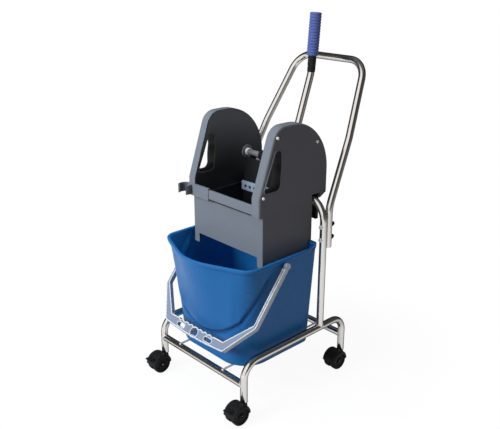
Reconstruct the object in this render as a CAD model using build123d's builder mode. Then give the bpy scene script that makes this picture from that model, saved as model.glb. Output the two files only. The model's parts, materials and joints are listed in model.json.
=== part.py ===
"""Single mop bucket trolley.

A chrome tube frame rolls on four twin-wheel swivel casters and carries a bucket
with a bail. A lever wringer hangs on the cross bar of the frame: the lever turns
toothed pinions, and these swing a perforated jaw against the wringer's front wall.

Frame: +Z up from the floor, +X to the trolley's right, +Y to the back, where the
push handle is. The origin is on the floor, in the middle of the outer box.
"""

import os
from math import acos, atan2, cos, pi, radians, sin, sqrt, tan

from build123d import *

os.makedirs("parts", exist_ok=True)

# Frame tubes
tube_d = 20.0
tube_wall = 1.5
track = 340.0
wheelbase = 390.0
leg_end_z = 54.0
cross_z = 102.0
rail_z = 162.0
rail_bend_r = 45.0
rod_d = 6.0
rod_spread = 182.0
rod_weld_depth = 1.0
bucket_post_gap = 2.0
post_bar_rise = 120.0
post_bend_r = 60.0

# Push handle
handle_gap = 0.5
handle_end_z = 402.0
handle_knee_z = 518.0
handle_mid_z = 687.0
handle_mid_back = 85.0
handle_mid_half = 156.5
handle_top_z = 878.0
handle_top_back = 185.0
handle_top_half = 120.0
handle_knee_r = 80.0
handle_mid_r = 140.0
handle_top_r = 45.0
bolt_d = 6.0
bolt_low_z = 429.0
bolt_pitch = 37.0
bolt_head_d = 12.0
bolt_head_h = 4.0
bolt_head_round = 2.4
knob_d = 15.0
knob_h = 9.0
knob_cap_d = 12.6
knob_taper = 12.0

# Casters
wheel_d = 54.0
wheel_w = 17.0
wheel_edge_r = 4.0
wheel_recess_d = 40.0
wheel_recess_depth = 2.0
wheel_hub_d = 16.0
wheel_side_gap = 1.0
caster_web = 5.0
caster_trail = 24.0
fender_gap = 1.2
fender_t = 2.5
fender_cover = 2.0
axle_pin_d = 6.0
stem_d = 8.0
stem_len = 30.0
stem_collar_d = 14.0
stem_collar_h = 2.0
neck_d = 16.0
socket_flange_h = 2.5
socket_plug_len = 32.0
swivel_gap = 0.5
running_gap = 0.05
pedal_angle = 140.0
pedal_half = 10.0
pedal_barrel_d = 7.0
pedal_pin_d = 4.0
pedal_lug_w = 3.0
pedal_reach = 14.0
pedal_t = 3.5

# Bucket
bucket_h = 301.0
bucket_wall = 3.0
bucket_base_half = 148.0
bucket_rim_half = 166.0
bucket_base_front = 20.0
bucket_rim_front = 14.0
bucket_base_depth = 250.0
bucket_rim_depth = 261.0
bucket_front_r = 65.0
bucket_rear_r = 32.0
belly_bottom_h = 88.0
belly_reach = 64.0
belly_nose_r = 120.0
belly_side = 1.0
belly_slope = 0.39
belly_low_slope = 0.145
belly_side_back = 84.0
belly_corner_r = 28.0
belly_low_half = 128.0
lip_out = 5.0
lip_h = 9.0
lip_round = 2.2

# Bail of the bucket
bail_pivot_back = 143.0
bail_pivot_drop = 19.0
bail_droop = 51.5
bail_arm_gap = 3.0
bail_arm_w = 10.0
bail_t = 12.0
bail_bend_len = 178.0
bail_grip_len = 262.0
bail_grip_half = 118.0
bail_grip_w = 31.0
bail_eye_d = 17.0
bail_pin_d = 8.0
bail_pin_head_d = 11.0
bail_pin_head_h = 2.5
bail_groove_w = 4.0
bail_groove_depth = 3.5
bail_groove_stop = 20.0
bail_bow = 7.0
bail_corner_r = 9.0
bail_scallop_d = 12.0
bail_scallop_depth = 3.0
bail_scallop_pitch = 19.0
bail_scallops = 8
bail_hole_d = 26.0
bail_slot_len = 30.0
bail_slot_w = 10.0
bail_slot_offset = 56.0

# Wringer housing
cheek_proud = 3.0
cheek_depth = 28.0
cheek_wall = 3.0
cheek_round = 7.0
cheek_overhang = 48.5
cheek_rise = 203.0
cheek_skirt = 19.0
cheek_front_h = 49.0
cheek_lean = 0.29
cheek_back_r = 140.0
cheek_brow_r = 40.0
cheek_heel_drop = 15.0
hole_low_back = 12.5
hole_high_back = 49.5
hole_depth = 62.0
hole_shoulder_h = 66.0
hole_base_h = 61.0
hole_h = 102.0
hole_top_w = 18.0
hole_r = 8.0
hole_rear_r = 18.0
hole_rim = 2.0
liner_t = 3.0
box_half = 137.0
box_wall = 3.0
box_depth = 185.0
box_edge_round = 2.4
box_ledge_t = 4.0
box_ledge_w = 22.0
bar_gap = 0.6
foot_w = 21.0
foot_dip = 28.0
panel_dip = 1.0
side_dip = 20.0
rear_clear = 3.0
rear_notch = 13.0
lip_step = 7.0
lip_band_h = 28.0
lip_wall = 4.0
lip_flange = 16.0
lip_edge_round = 1.8
drain_t = 3.0
drain_lift = 6.0
drain_slots = 9
drain_slot_w = 8.0
drain_slot_end = 13.4
saddle_t = 4.0
saddle_gap = 0.3
hook_w = 16.0
hook_inset = 16.0
hook_tail_t = 10.0
hook_tail_len = 78.0
screw_d = 4.0
screw_head_d = 10.0
screw_head_h = 3.0
screw_head_taper = 20.0
screw_post_d = 9.0
screw_brow_back = 62.5
screw_brow_drop = 28.0
screw_rear_inset = 39.0
screw_rear_drop = 60.0
screw_low_back = 12.5
screw_low_rise = 46.0

# Wringer mechanism
shaft_d = 16.0
axle_back = -19.0
axle_rise = 70.7
gear_module = 3.0
pinion_teeth = 17
sector_teeth = 18
gear_addendum = 0.85
gear_dedendum = 1.25
gear_backlash = 0.35
pressure_angle = 20.0
gear_w = 14.0
gear_inset = 68.0
gear_line_angle = -42.0
toothed = 6
pinion_lead = 4
sector_lead = 1.5
bush_flange_d = 42.0
bush_flange_t = 4.0
bush_taper = 8.0
bush_rim = 4.0
bush_dish = 2.0
bush_sleeve_d = 24.0
jaw_side_gap = 17.0
jaw_plate_t = 5.0
jaw_plate_drop_top = 66.0
jaw_plate_drop_end = 161.0
jaw_forward = 22.0
jaw_arm_t = 12.0
jaw_ribs = 3
jaw_rib_t = 4.0
jaw_rib_depth = 9.0
jaw_boss_d = 28.0
press_bar_h = 26.0
press_bar_t = 8.0
press_bar_drop = 77.0
press_bar_hole_d = 9.0
press_bar_end = 10.0
press_bar_pitch = 17.5
press_bar_round = 2.6

# Wringer lever
lever_d = 20.0
lever_lean = 19.1
lever_offset = 12.0
lever_bend_len = 272.0
lever_top_lean = 4.7
lever_bend_r = 60.0
lever_hub_d = 40.0
lever_hub_w = 46.0
socket_d = 31.0
socket_base = 24.0
socket_len = 52.0
socket_round = 2.7
collar_len = 44.0
collar_d = 23.0
grip_len = 116.0
grip_d = 31.0
grip_ribs = 10
grip_rib_depth = 2.0
grip_round = 6.2
grip_wrap = 12.0

# Mop clip
clip_r = 12.0
clip_wall = 4.0
clip_h = 26.0
clip_out = 19.0
clip_ahead = 4.0
clip_mouth = 110.0
clip_plate_w = 73.0
clip_plate_h = 34.0
clip_plate_t = 4.0

# Places worked out from the sizes above
tube_r = tube_d / 2
bore_r = tube_r - tube_wall
side_x = track / 2
wheel_r = wheel_d / 2
fender_r = wheel_r + fender_gap + fender_t
wheel_in_x = caster_web / 2 + wheel_side_gap
wheel_out_x = wheel_in_x + wheel_w
pedal_arm = fender_r + pedal_barrel_d / 2
pedal_y = -caster_trail + pedal_arm * cos(radians(pedal_angle))
pedal_z = wheel_r + pedal_arm * sin(radians(pedal_angle))

post_back = bucket_rim_front + bucket_rim_depth + lip_out + bucket_post_gap + tube_r
handle_back = post_back + tube_d + handle_gap
box_front_reach = pedal_y - pedal_reach
box_back_reach = handle_back + handle_top_back + tube_r
front_y = -(box_front_reach + box_back_reach) / 2
rear_y = front_y + wheelbase
post_y = front_y + post_back
handle_y = front_y + handle_back

bucket_z = cross_z + tube_r + rod_d - rod_weld_depth
rim_z = bucket_z + bucket_h

post_bar_z = rim_z + post_bar_rise
saddle_z = post_bar_z + tube_r + saddle_gap + saddle_t
cheek_base_z = saddle_z - cheek_skirt
cheek_top_z = saddle_z + cheek_rise
cheek_back_y = post_y + cheek_overhang
box_back_y = post_y - tube_r - bar_gap
box_front_y = box_back_y - box_depth
cheek_front_y = box_front_y - lip_step
hook_back_y = post_y + tube_r + saddle_gap
cheek_half = box_half + cheek_proud
cheek_in = cheek_half - cheek_depth
jaw_half = cheek_in - jaw_side_gap
gear_x = cheek_in - gear_inset
axle_y = post_y + axle_back
axle_z = saddle_z + axle_rise
gear_centres = gear_module * (pinion_teeth + sector_teeth) / 2
lever_y = axle_y + gear_centres * cos(radians(gear_line_angle))
lever_z = axle_z + gear_centres * sin(radians(gear_line_angle))


def save(builder, name):
    """Label a finished piece and write it as one file."""
    builder.part.label = name
    export_step(builder.part, f"parts/{name}.step")


def ring_start(path):
    """Plane across the start of a path, for a profile that is swept along it."""
    return Plane(origin=path @ 0, z_dir=path % 0)


# Side rails, each a bent tube with a leg at both ends
for side, sign in (("left", -1), ("right", 1)):
    with BuildPart() as rail:
        with BuildLine() as rail_path:
            FilletPolyline(
                (sign * side_x, front_y, leg_end_z),
                (sign * side_x, front_y, rail_z),
                (sign * side_x, rear_y, rail_z),
                (sign * side_x, rear_y, leg_end_z),
                radius=rail_bend_r,
            )
        with BuildSketch(ring_start(rail_path.line)):
            Circle(tube_r)
            Circle(bore_r, mode=Mode.SUBTRACT)
        sweep()
    save(rail, f"side_rail_{side}")

# Cross tubes, coped to the legs that they are welded to
for place, place_y in (("front", front_y), ("rear", rear_y)):
    with BuildPart() as cross:
        with BuildSketch(Plane.YZ.offset(-side_x)):
            with Locations((place_y, cross_z)):
                Circle(tube_r)
                Circle(bore_r, mode=Mode.SUBTRACT)
        extrude(amount=track)
        with Locations((-side_x, place_y, cross_z), (side_x, place_y, cross_z)):
            Cylinder(tube_r, 3 * tube_d, mode=Mode.SUBTRACT)
    save(cross, f"{place}_cross_tube")

# Support rods under the bucket, sunk a little into the cross tubes by the weld
with BuildPart() as rods:
    with BuildSketch(Plane.XZ.offset(-(front_y - tube_r / 2))):
        with Locations((-rod_spread / 2, bucket_z - rod_d / 2), (rod_spread / 2, bucket_z - rod_d / 2)):
            Circle(rod_d / 2)
    extrude(amount=-(wheelbase + tube_r))
    with Locations((0, front_y, cross_z), (0, rear_y, cross_z)):
        Cylinder(tube_r, track, rotation=(0, 90, 0), mode=Mode.SUBTRACT)
save(rods, "bucket_support_rods")

# Post frame, an inverted U that stands on the rails and carries the wringer
bolt_zs = (bolt_low_z, bolt_low_z + bolt_pitch)
bolt_spots = [(sign * side_x, bolt_z) for sign in (-1, 1) for bolt_z in bolt_zs]
with BuildPart() as post_frame:
    with BuildLine() as post_path:
        FilletPolyline(
            (-side_x, post_y, rail_z),
            (-side_x, post_y, post_bar_z),
            (side_x, post_y, post_bar_z),
            (side_x, post_y, rail_z),
            radius=post_bend_r,
        )
    with BuildSketch(ring_start(post_path.line)):
        Circle(tube_r)
        Circle(bore_r, mode=Mode.SUBTRACT)
    sweep()
    with Locations((-side_x, post_y, rail_z), (side_x, post_y, rail_z)):
        Cylinder(tube_r, 3 * tube_d, rotation=(90, 0, 0), mode=Mode.SUBTRACT)
    with Locations(*[(x, post_y, z) for x, z in bolt_spots]):
        Cylinder(bolt_d / 2, 2 * tube_d, rotation=(90, 0, 0), mode=Mode.SUBTRACT)
save(post_frame, "post_frame")

# Push handle, bolted behind the posts, leaning back and drawing in to the top bar
handle_corners = [
    (side_x, handle_y, handle_end_z),
    (side_x, handle_y, handle_knee_z),
    (handle_mid_half, handle_y + handle_mid_back, handle_mid_z),
    (handle_top_half, handle_y + handle_top_back, handle_top_z),
]
handle_radii = [handle_knee_r, handle_mid_r, handle_top_r]
with BuildPart() as push_handle:
    with BuildLine() as handle_path:
        FilletPolyline(
            *handle_corners,
            *[(-x, y, z) for x, y, z in reversed(handle_corners)],
            radius=handle_radii + handle_radii[::-1],
        )
    with BuildSketch(ring_start(handle_path.line)):
        Circle(tube_r)
        Circle(bore_r, mode=Mode.SUBTRACT)
    sweep()
    with Locations(*[(x, handle_y, z) for x, z in bolt_spots]):
        Cylinder(bolt_d / 2, 2 * tube_d, rotation=(90, 0, 0), mode=Mode.SUBTRACT)
save(push_handle, "push_handle")

# Bolts through posts and handle, domed heads in front and hand nuts behind
bolt_front_y = post_y - tube_r
bolt_back_y = handle_y + tube_r
with BuildPart() as bolts:
    with BuildSketch(Plane.XZ.offset(-bolt_front_y)):
        with Locations(*bolt_spots):
            Circle(bolt_d / 2)
    extrude(amount=-(bolt_back_y - bolt_front_y + knob_h / 2))
    with BuildSketch(Plane.XZ.offset(-bolt_front_y)):
        with Locations(*bolt_spots):
            Circle(bolt_head_d / 2)
    extrude(amount=bolt_head_h)
    fillet(bolts.faces().sort_by(Axis.Y)[: len(bolt_spots)].edges(), bolt_head_round)
save(bolts, "handle_bolts")

with BuildPart() as knobs:
    with BuildSketch(Plane.XZ.offset(-bolt_back_y)):
        with Locations(*bolt_spots):
            RegularPolygon(knob_d / 2, 6)
            Circle(bolt_d / 2, mode=Mode.SUBTRACT)
    extrude(amount=-knob_h / 2)
    with BuildSketch(Plane.XZ.offset(-(bolt_back_y + knob_h / 2))):
        with Locations(*bolt_spots):
            Circle(knob_cap_d / 2)
    extrude(amount=-knob_h / 2, taper=knob_taper)
save(knobs, "handle_hand_nuts")

# Casters
socket_z = leg_end_z - socket_flange_h
neck_z = socket_z - swivel_gap - stem_collar_h
stem_z = wheel_r + sqrt((wheel_r + fender_gap) ** 2 - (caster_trail - stem_d / 2) ** 2)
corners = [
    ("front_left", -side_x, front_y, True),
    ("front_right", side_x, front_y, True),
    ("rear_left", -side_x, rear_y, False),
    ("rear_right", side_x, rear_y, False),
]

with BuildPart() as sockets:
    with BuildSketch(Plane.XY.offset(socket_z)):
        with Locations(*[(x, y) for _, x, y, _ in corners]):
            Circle(tube_r)
            Circle(stem_d / 2 + running_gap, mode=Mode.SUBTRACT)
    extrude(amount=socket_flange_h)
    with BuildSketch(Plane.XY.offset(leg_end_z)):
        with Locations(*[(x, y) for _, x, y, _ in corners]):
            Circle(bore_r)
            Circle(stem_d / 2 + running_gap, mode=Mode.SUBTRACT)
    extrude(amount=socket_plug_len)
save(sockets, "caster_sockets")

for corner, x, y, braked in corners:
    wheel_y = y - caster_trail
    hub = (wheel_y, wheel_r)

    with BuildPart() as stem:
        with BuildSketch(Plane.XY.offset(stem_z)):
            with Locations((x, y)):
                Circle(stem_d / 2)
        extrude(amount=neck_z + stem_collar_h + stem_len - stem_z)
        with BuildSketch(Plane.XY.offset(neck_z)):
            with Locations((x, y)):
                Circle(stem_collar_d / 2)
        extrude(amount=stem_collar_h)
    save(stem, f"caster_stem_{corner}")

    # Hood: mudguard over both wheels, web between them, neck for the stem
    with BuildPart() as hood:
        with BuildSketch(Plane.YZ.offset(x - wheel_out_x)):
            with Locations(hub):
                Circle(fender_r)
            with Locations((wheel_y, wheel_r + fender_cover)):
                Rectangle(3 * fender_r, 3 * fender_r, align=(Align.CENTER, Align.MIN), mode=Mode.INTERSECT)
        extrude(amount=2 * wheel_out_x)
        with BuildSketch(Plane.XY.offset(wheel_r + fender_cover)):
            with Locations((x, y)):
                Circle(neck_d / 2)
        extrude(amount=neck_z - wheel_r - fender_cover)
        with BuildSketch(Plane.YZ.offset(x - wheel_out_x)):
            with Locations(hub):
                Circle(wheel_r + fender_gap)
        extrude(amount=2 * wheel_out_x, mode=Mode.SUBTRACT)
        with BuildSketch(Plane.YZ.offset(x - caster_web / 2)):
            with Locations(hub):
                Circle(fender_r)
            with Locations((wheel_y, wheel_r + fender_cover)):
                Rectangle(3 * fender_r, 3 * fender_r, align=(Align.CENTER, Align.MIN), mode=Mode.INTERSECT)
            with Locations(hub):
                Circle(wheel_recess_d / 2)
        extrude(amount=caster_web)
        with BuildSketch(Plane.XY.offset(neck_z)):
            with Locations((x, y)):
                Circle(tube_r + 2 * swivel_gap)
        extrude(amount=2 * fender_r, mode=Mode.SUBTRACT)
        with BuildSketch(Plane.XY.offset(stem_z)):
            with Locations((x, y)):
                Circle(stem_d / 2)
        extrude(amount=neck_z - stem_z, mode=Mode.SUBTRACT)
        with Locations((x, wheel_y, wheel_r)):
            Cylinder(axle_pin_d / 2, 2 * caster_web, rotation=(0, 90, 0), mode=Mode.SUBTRACT)
        if braked:
            lug_in = pedal_half + swivel_gap
            for lug_x in (x - lug_in - pedal_lug_w, x + lug_in):
                with BuildSketch(Plane.YZ.offset(lug_x)):
                    with Locations((y + pedal_y, pedal_z)):
                        Circle(pedal_barrel_d / 2)
                    with Locations(hub):
                        with PolarLocations(fender_r, 1, start_angle=pedal_angle):
                            Rectangle(pedal_barrel_d, pedal_barrel_d)
                    with Locations(hub):
                        Circle(wheel_r + fender_gap, mode=Mode.SUBTRACT)
                    with Locations((y + pedal_y, pedal_z)):
                        Circle(pedal_pin_d / 2 + running_gap, mode=Mode.SUBTRACT)
                extrude(amount=pedal_lug_w)
    save(hood, f"caster_hood_{corner}")

    with BuildPart() as pin:
        with Locations((x, wheel_y, wheel_r)):
            Cylinder(axle_pin_d / 2, 2 * (wheel_out_x - wheel_recess_depth), rotation=(0, 90, 0))
    save(pin, f"caster_axle_{corner}")

    # Twin wheels: rounded tread, dished outer face with a raised hub
    for place, sign in (("left", -1), ("right", 1)):
        with BuildPart() as wheel:
            with BuildSketch(Plane.YZ.offset(x + sign * wheel_in_x)):
                with Locations(hub):
                    Circle(wheel_r)
            extrude(amount=sign * wheel_w)
            fillet(wheel.edges().filter_by(GeomType.CIRCLE), wheel_edge_r)
            with BuildSketch(Plane.YZ.offset(x + sign * wheel_out_x)):
                with Locations(hub):
                    Circle(wheel_recess_d / 2)
                    Circle(wheel_hub_d / 2, mode=Mode.SUBTRACT)
            extrude(amount=-sign * wheel_recess_depth, mode=Mode.SUBTRACT)
            with BuildSketch(Plane.YZ.offset(x + sign * wheel_in_x)):
                with Locations(hub):
                    Circle(axle_pin_d / 2 + running_gap)
            extrude(amount=sign * (wheel_w - wheel_recess_depth), mode=Mode.SUBTRACT)
        save(wheel, f"caster_wheel_{corner}_{place}")

    if braked:
        with BuildPart() as pedal:
            with BuildSketch(Plane.YZ.offset(x - pedal_half)):
                with Locations((y + pedal_y, pedal_z)):
                    Circle(pedal_barrel_d / 2)
                    with Locations((0, pedal_barrel_d / 2)):
                        Rectangle(pedal_reach, pedal_t, align=(Align.MAX, Align.MAX))
            extrude(amount=2 * pedal_half)
            trunnion = pedal_half + swivel_gap + pedal_lug_w
            with Locations((x, y + pedal_y, pedal_z)):
                Cylinder(pedal_pin_d / 2, 2 * trunnion, rotation=(0, 90, 0))
        save(pedal, f"brake_pedal_{corner}")


def bucket_outline(level, inset):
    """Plan of the tapered tub at a share of its height, drawn in by a wall."""
    half = bucket_base_half + (bucket_rim_half - bucket_base_half) * level - inset
    front = bucket_base_front + (bucket_rim_front - bucket_base_front) * level
    depth = bucket_base_depth + (bucket_rim_depth - bucket_base_depth) * level
    with BuildSketch(Plane.XY.offset(bucket_z + bucket_h * level)) as plan:
        with Locations((0, front_y + front + inset)):
            Rectangle(2 * half, depth - 2 * inset, align=(Align.CENTER, Align.MIN))
        fillet(plan.vertices().sort_by(Axis.Y)[:2], bucket_front_r - inset)
        fillet(plan.vertices().sort_by(Axis.Y)[-2:], bucket_rear_r - inset)
    return plan


def belly_outline(level, inset):
    """Plan of the pouring belly: a blunt wedge that runs out as the bucket rises."""
    share = (bucket_h * level - belly_bottom_h) / (bucket_h - belly_bottom_h)
    front = bucket_base_front + (bucket_rim_front - bucket_base_front) * level
    half = belly_low_half + (bucket_rim_half + belly_side - belly_low_half) * share - inset
    nose = front_y + front - belly_reach * share
    slope = belly_low_slope + (belly_slope - belly_low_slope) * share
    back = front_y + front + belly_side_back
    with BuildSketch(Plane.XY.offset(bucket_z + bucket_h * level)) as plan:
        Polygon(
            (0, nose + inset / cos(atan2(slope, 1))),
            (half, nose + slope * half + inset),
            (half, back),
            (-half, back),
            (-half, nose + slope * half + inset),
            align=None,
        )
        fillet(plan.vertices().sort_by(Axis.Y)[0], belly_nose_r - inset)
        sides = plan.vertices().filter_by(lambda v: abs(v.X) > half / 2)
        fillet(sides.sort_by(Axis.Y)[:2], belly_corner_r - inset)
    return plan


# Bucket: tapered tub with a pouring belly, hollow, with a turned-out lip and bail bosses
belly_level = belly_bottom_h / bucket_h
floor_level = bucket_wall / bucket_h
bail_y = front_y + bail_pivot_back
bail_z = rim_z - bail_pivot_drop
bail_level = 1 - bail_pivot_drop / bucket_h
bail_wall_x = bucket_base_half + (bucket_rim_half - bucket_base_half) * bail_level
lip_x = bucket_rim_half + max(belly_side, 0) + lip_out
bail_in_x = lip_x + bail_arm_gap
bail_boss_x = bail_in_x - swivel_gap
with BuildPart() as bucket:
    loft([bucket_outline(0, 0).sketch, bucket_outline(1, 0).sketch], ruled=True)
    loft([belly_outline(belly_level, 0).sketch, belly_outline(1, 0).sketch], ruled=True)
    with BuildSketch(Plane.XY.offset(rim_z)):
        add(bucket_outline(1, 0).sketch_local)
        add(belly_outline(1, 0).sketch_local)
        offset(amount=lip_out, kind=Kind.ARC)
    extrude(amount=-lip_h)
    lip_face = bucket.faces().filter_by(Axis.Z).sort_by(Axis.Z)[-1]
    fillet(lip_face.outer_wire().edges(), lip_round)
    with Locations(Plane.YZ):
        with Locations((bail_y, bail_z)):
            Cylinder(bail_eye_d / 2, 2 * bail_boss_x)
    tub_floor = bucket_outline(floor_level, bucket_wall).sketch
    tub_mouth = bucket_outline(1, bucket_wall).sketch
    loft([tub_floor, tub_mouth], ruled=True, mode=Mode.SUBTRACT)
    belly_floor = belly_outline(belly_level, bucket_wall).sketch
    belly_mouth = belly_outline(1, bucket_wall).sketch
    loft([belly_floor, belly_mouth], ruled=True, mode=Mode.SUBTRACT)
    for sign in (-1, 1):
        with BuildSketch(Plane.YZ.offset(sign * bail_boss_x)):
            with Locations((bail_y, bail_z)):
                Circle(bail_pin_d / 2)
        extrude(amount=-sign * (bail_boss_x - bail_wall_x), mode=Mode.SUBTRACT)
save(bucket, "bucket")

# Bail: plastic loop that leans against the bucket's front when it is let go
bail_out_x = bail_in_x + bail_arm_w
bail_plane = Plane(
    origin=(0, bail_y, bail_z),
    x_dir=(1, 0, 0),
    z_dir=(0, sin(radians(bail_droop)), -cos(radians(bail_droop))),
)
bail_grip_in = bail_grip_len - bail_grip_w / 2
bail_grip_out = bail_grip_len + bail_grip_w / 2
bail_corner_t = bail_grip_out - bail_bow
bail_lean = atan2(bail_out_x - bail_grip_half, bail_corner_t - bail_bend_len)
groove_end = (
    bail_grip_half + bail_groove_stop * sin(bail_lean),
    bail_corner_t - bail_groove_stop * cos(bail_lean),
)
with BuildPart() as bail:
    with BuildSketch(bail_plane) as bail_view:
        with BuildLine():
            Polyline(
                (-bail_grip_half, bail_corner_t),
                (-bail_out_x, bail_bend_len),
                (-bail_out_x, 0),
                (-bail_in_x, 0),
                (-bail_in_x, bail_bend_len - bail_arm_w / 2),
                (-bail_grip_half + bail_arm_w, bail_grip_in),
                (bail_grip_half - bail_arm_w, bail_grip_in),
                (bail_in_x, bail_bend_len - bail_arm_w / 2),
                (bail_in_x, 0),
                (bail_out_x, 0),
                (bail_out_x, bail_bend_len),
                (bail_grip_half, bail_corner_t),
            )
            bail_ends = [(sign * bail_grip_half, bail_corner_t) for sign in (1, -1)]
            ThreePointArc(bail_ends[0], (0, bail_grip_out), bail_ends[1])
        make_face()
        fillet(bail_view.vertices().filter_by(lambda v: v.Y > bail_bend_len / 2), bail_corner_r)
        with Locations((0, bail_grip_in - bail_scallop_d / 2 + bail_scallop_depth)):
            with GridLocations(bail_scallop_pitch, 1, bail_scallops, 1):
                Circle(bail_scallop_d / 2, mode=Mode.SUBTRACT)
        with Locations((0, bail_grip_len)):
            Circle(bail_hole_d / 2, mode=Mode.SUBTRACT)
            with GridLocations(2 * bail_slot_offset, 1, 2, 1):
                SlotOverall(bail_slot_len, bail_slot_w, mode=Mode.SUBTRACT)
    extrude(amount=bail_t / 2, both=True)
    with BuildSketch(bail_plane):
        for sign in (-1, 1):
            with BuildLine():
                Polyline(
                    (sign * bail_out_x, bail_eye_d),
                    (sign * bail_out_x, bail_bend_len),
                    (sign * groove_end[0], groove_end[1]),
                )
            trace(line_width=2 * bail_groove_depth)
    extrude(amount=bail_groove_w / 2, both=True, mode=Mode.SUBTRACT)
    for sign in (-1, 1):
        with BuildSketch(Plane.YZ.offset(sign * bail_in_x)):
            with Locations((bail_y, bail_z)):
                Circle(bail_eye_d / 2)
        extrude(amount=sign * bail_arm_w)
    with Locations((0, bail_y, bail_z)):
        Cylinder(bail_pin_d / 2 + running_gap, 3 * bail_out_x, rotation=(0, 90, 0), mode=Mode.SUBTRACT)
save(bail, "bail")

with BuildPart() as bail_pins:
    for sign in (-1, 1):
        with BuildSketch(Plane.YZ.offset(sign * bail_wall_x)):
            with Locations((bail_y, bail_z)):
                Circle(bail_pin_d / 2)
        extrude(amount=sign * (bail_out_x + swivel_gap - bail_wall_x))
        with BuildSketch(Plane.YZ.offset(sign * (bail_out_x + swivel_gap))):
            with Locations((bail_y, bail_z)):
                Circle(bail_pin_head_d / 2)
        extrude(amount=sign * bail_pin_head_h)
save(bail_pins, "bail_pins")


def cheek_outline(inset):
    """Side view of a wringer cheek, drawn in by a wall."""
    knee_z = cheek_base_z + cheek_front_h
    brow_y = cheek_front_y + cheek_lean * (cheek_top_z - knee_z)
    brow_run = cheek_brow_r * tan((pi / 2 - atan2(cheek_lean, 1)) / 2)
    back_r = min(cheek_back_r, cheek_back_y - brow_y - brow_run - cheek_wall)
    heel_y = hook_back_y + hook_tail_t + bar_gap
    with BuildSketch(Plane.YZ) as view:
        Polygon(
            (cheek_front_y, cheek_base_z),
            (cheek_front_y, knee_z),
            (brow_y, cheek_top_z),
            (cheek_back_y, cheek_top_z),
            (cheek_back_y, saddle_z),
            (heel_y, saddle_z - cheek_heel_drop),
            (heel_y, saddle_z),
            (box_back_y, saddle_z),
            (box_back_y, cheek_base_z),
            align=None,
        )
        top_pair = view.vertices().filter_by(lambda v: abs(v.Y - cheek_top_z) < 0.01).sort_by(Axis.X)
        fillet(top_pair[1], back_r)
        top_pair = view.vertices().filter_by(lambda v: abs(v.Y - cheek_top_z) < 0.01).sort_by(Axis.X)
        fillet(top_pair[0], cheek_brow_r)
        if inset:
            offset(amount=-inset, kind=Kind.INTERSECTION)
    return view.sketch_local


def hole_outline(grow):
    """Side view of the hand hole near a cheek's front edge, grown by a rim."""
    base_z = cheek_base_z + hole_base_h
    low_y = cheek_front_y + hole_low_back
    high_y = cheek_front_y + hole_high_back
    with BuildSketch(Plane.YZ) as view:
        Polygon(
            (low_y, base_z),
            (low_y + hole_depth, base_z),
            (low_y + hole_depth, base_z + hole_shoulder_h),
            (high_y + hole_top_w, base_z + hole_h),
            (high_y, base_z + hole_h),
            align=None,
        )
        fillet(view.vertices().sort_by(Axis.Y)[:2].sort_by(Axis.X)[1], hole_rear_r)
        fillet(view.vertices().sort_by(Axis.X)[0], hole_r)
        fillet(view.vertices().sort_by(Axis.Y)[-2:], hole_r)
        if grow:
            offset(amount=grow, kind=Kind.ARC)
    return view.sketch_local


# Wringer cheeks: open-backed shells closed by a liner that carries the bushes
screw_spots = [
    (cheek_front_y + screw_brow_back, cheek_top_z - screw_brow_drop),
    (cheek_back_y - screw_rear_inset, cheek_top_z - screw_rear_drop),
    (cheek_front_y + screw_low_back, cheek_base_z + screw_low_rise),
]
shaft_spots = [(axle_y, axle_z), (lever_y, lever_z)]
with BuildPart() as cheek_shell:
    with BuildSketch(Plane.YZ.offset(cheek_in)):
        add(cheek_outline(0))
    extrude(amount=cheek_depth)
    outer_edges = cheek_shell.faces().sort_by(Axis.X)[-1].edges()
    round_edges = outer_edges.filter_by(lambda e: e.center().Z > saddle_z or e.center().Y < box_front_y)
    fillet(round_edges, cheek_round)
    with BuildSketch(Plane.YZ.offset(cheek_in)):
        add(cheek_outline(cheek_wall))
        add(hole_outline(cheek_wall), mode=Mode.SUBTRACT)
    extrude(amount=liner_t, mode=Mode.SUBTRACT)
    with BuildSketch(Plane.YZ.offset(cheek_in + liner_t)):
        add(cheek_outline(cheek_wall))
        add(hole_outline(cheek_wall), mode=Mode.SUBTRACT)
        with Locations(*screw_spots):
            Circle(screw_post_d / 2, mode=Mode.SUBTRACT)
    extrude(amount=cheek_depth - liner_t - cheek_wall, mode=Mode.SUBTRACT)
    with BuildSketch(Plane.YZ.offset(cheek_half)):
        add(hole_outline(cheek_wall))
    extrude(amount=hole_rim)
    with BuildSketch(Plane.YZ.offset(cheek_in)):
        add(hole_outline(0))
    extrude(amount=cheek_depth + hole_rim, mode=Mode.SUBTRACT)
    with BuildSketch(Plane.YZ.offset(cheek_half)):
        with Locations(*screw_spots):
            Circle(screw_d / 2)
    extrude(amount=-(cheek_depth - liner_t), mode=Mode.SUBTRACT)
save(cheek_shell, "wringer_cheek_right")

with BuildPart() as cheek_shell_left:
    mirror(cheek_shell.part, about=Plane.YZ)
save(cheek_shell_left, "wringer_cheek_left")

with BuildPart() as liner:
    with BuildSketch(Plane.YZ.offset(cheek_in)):
        add(cheek_outline(cheek_wall))
        add(hole_outline(cheek_wall), mode=Mode.SUBTRACT)
        with Locations(*shaft_spots):
            Circle(bush_sleeve_d / 2, mode=Mode.SUBTRACT)
    extrude(amount=liner_t)
save(liner, "cheek_liner_right")

with BuildPart() as liner_left:
    mirror(liner.part, about=Plane.YZ)
save(liner_left, "cheek_liner_left")

with BuildPart() as screws:
    for sign in (-1, 1):
        with BuildSketch(Plane.YZ.offset(sign * cheek_half)):
            with Locations(*screw_spots):
                Circle(screw_head_d / 2)
        extrude(amount=sign * screw_head_h, taper=screw_head_taper)
        with BuildSketch(Plane.YZ.offset(sign * cheek_half)):
            with Locations(*screw_spots):
                Circle(screw_d / 2)
        extrude(amount=-sign * (cheek_depth - liner_t))
save(screws, "cheek_screws")

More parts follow.
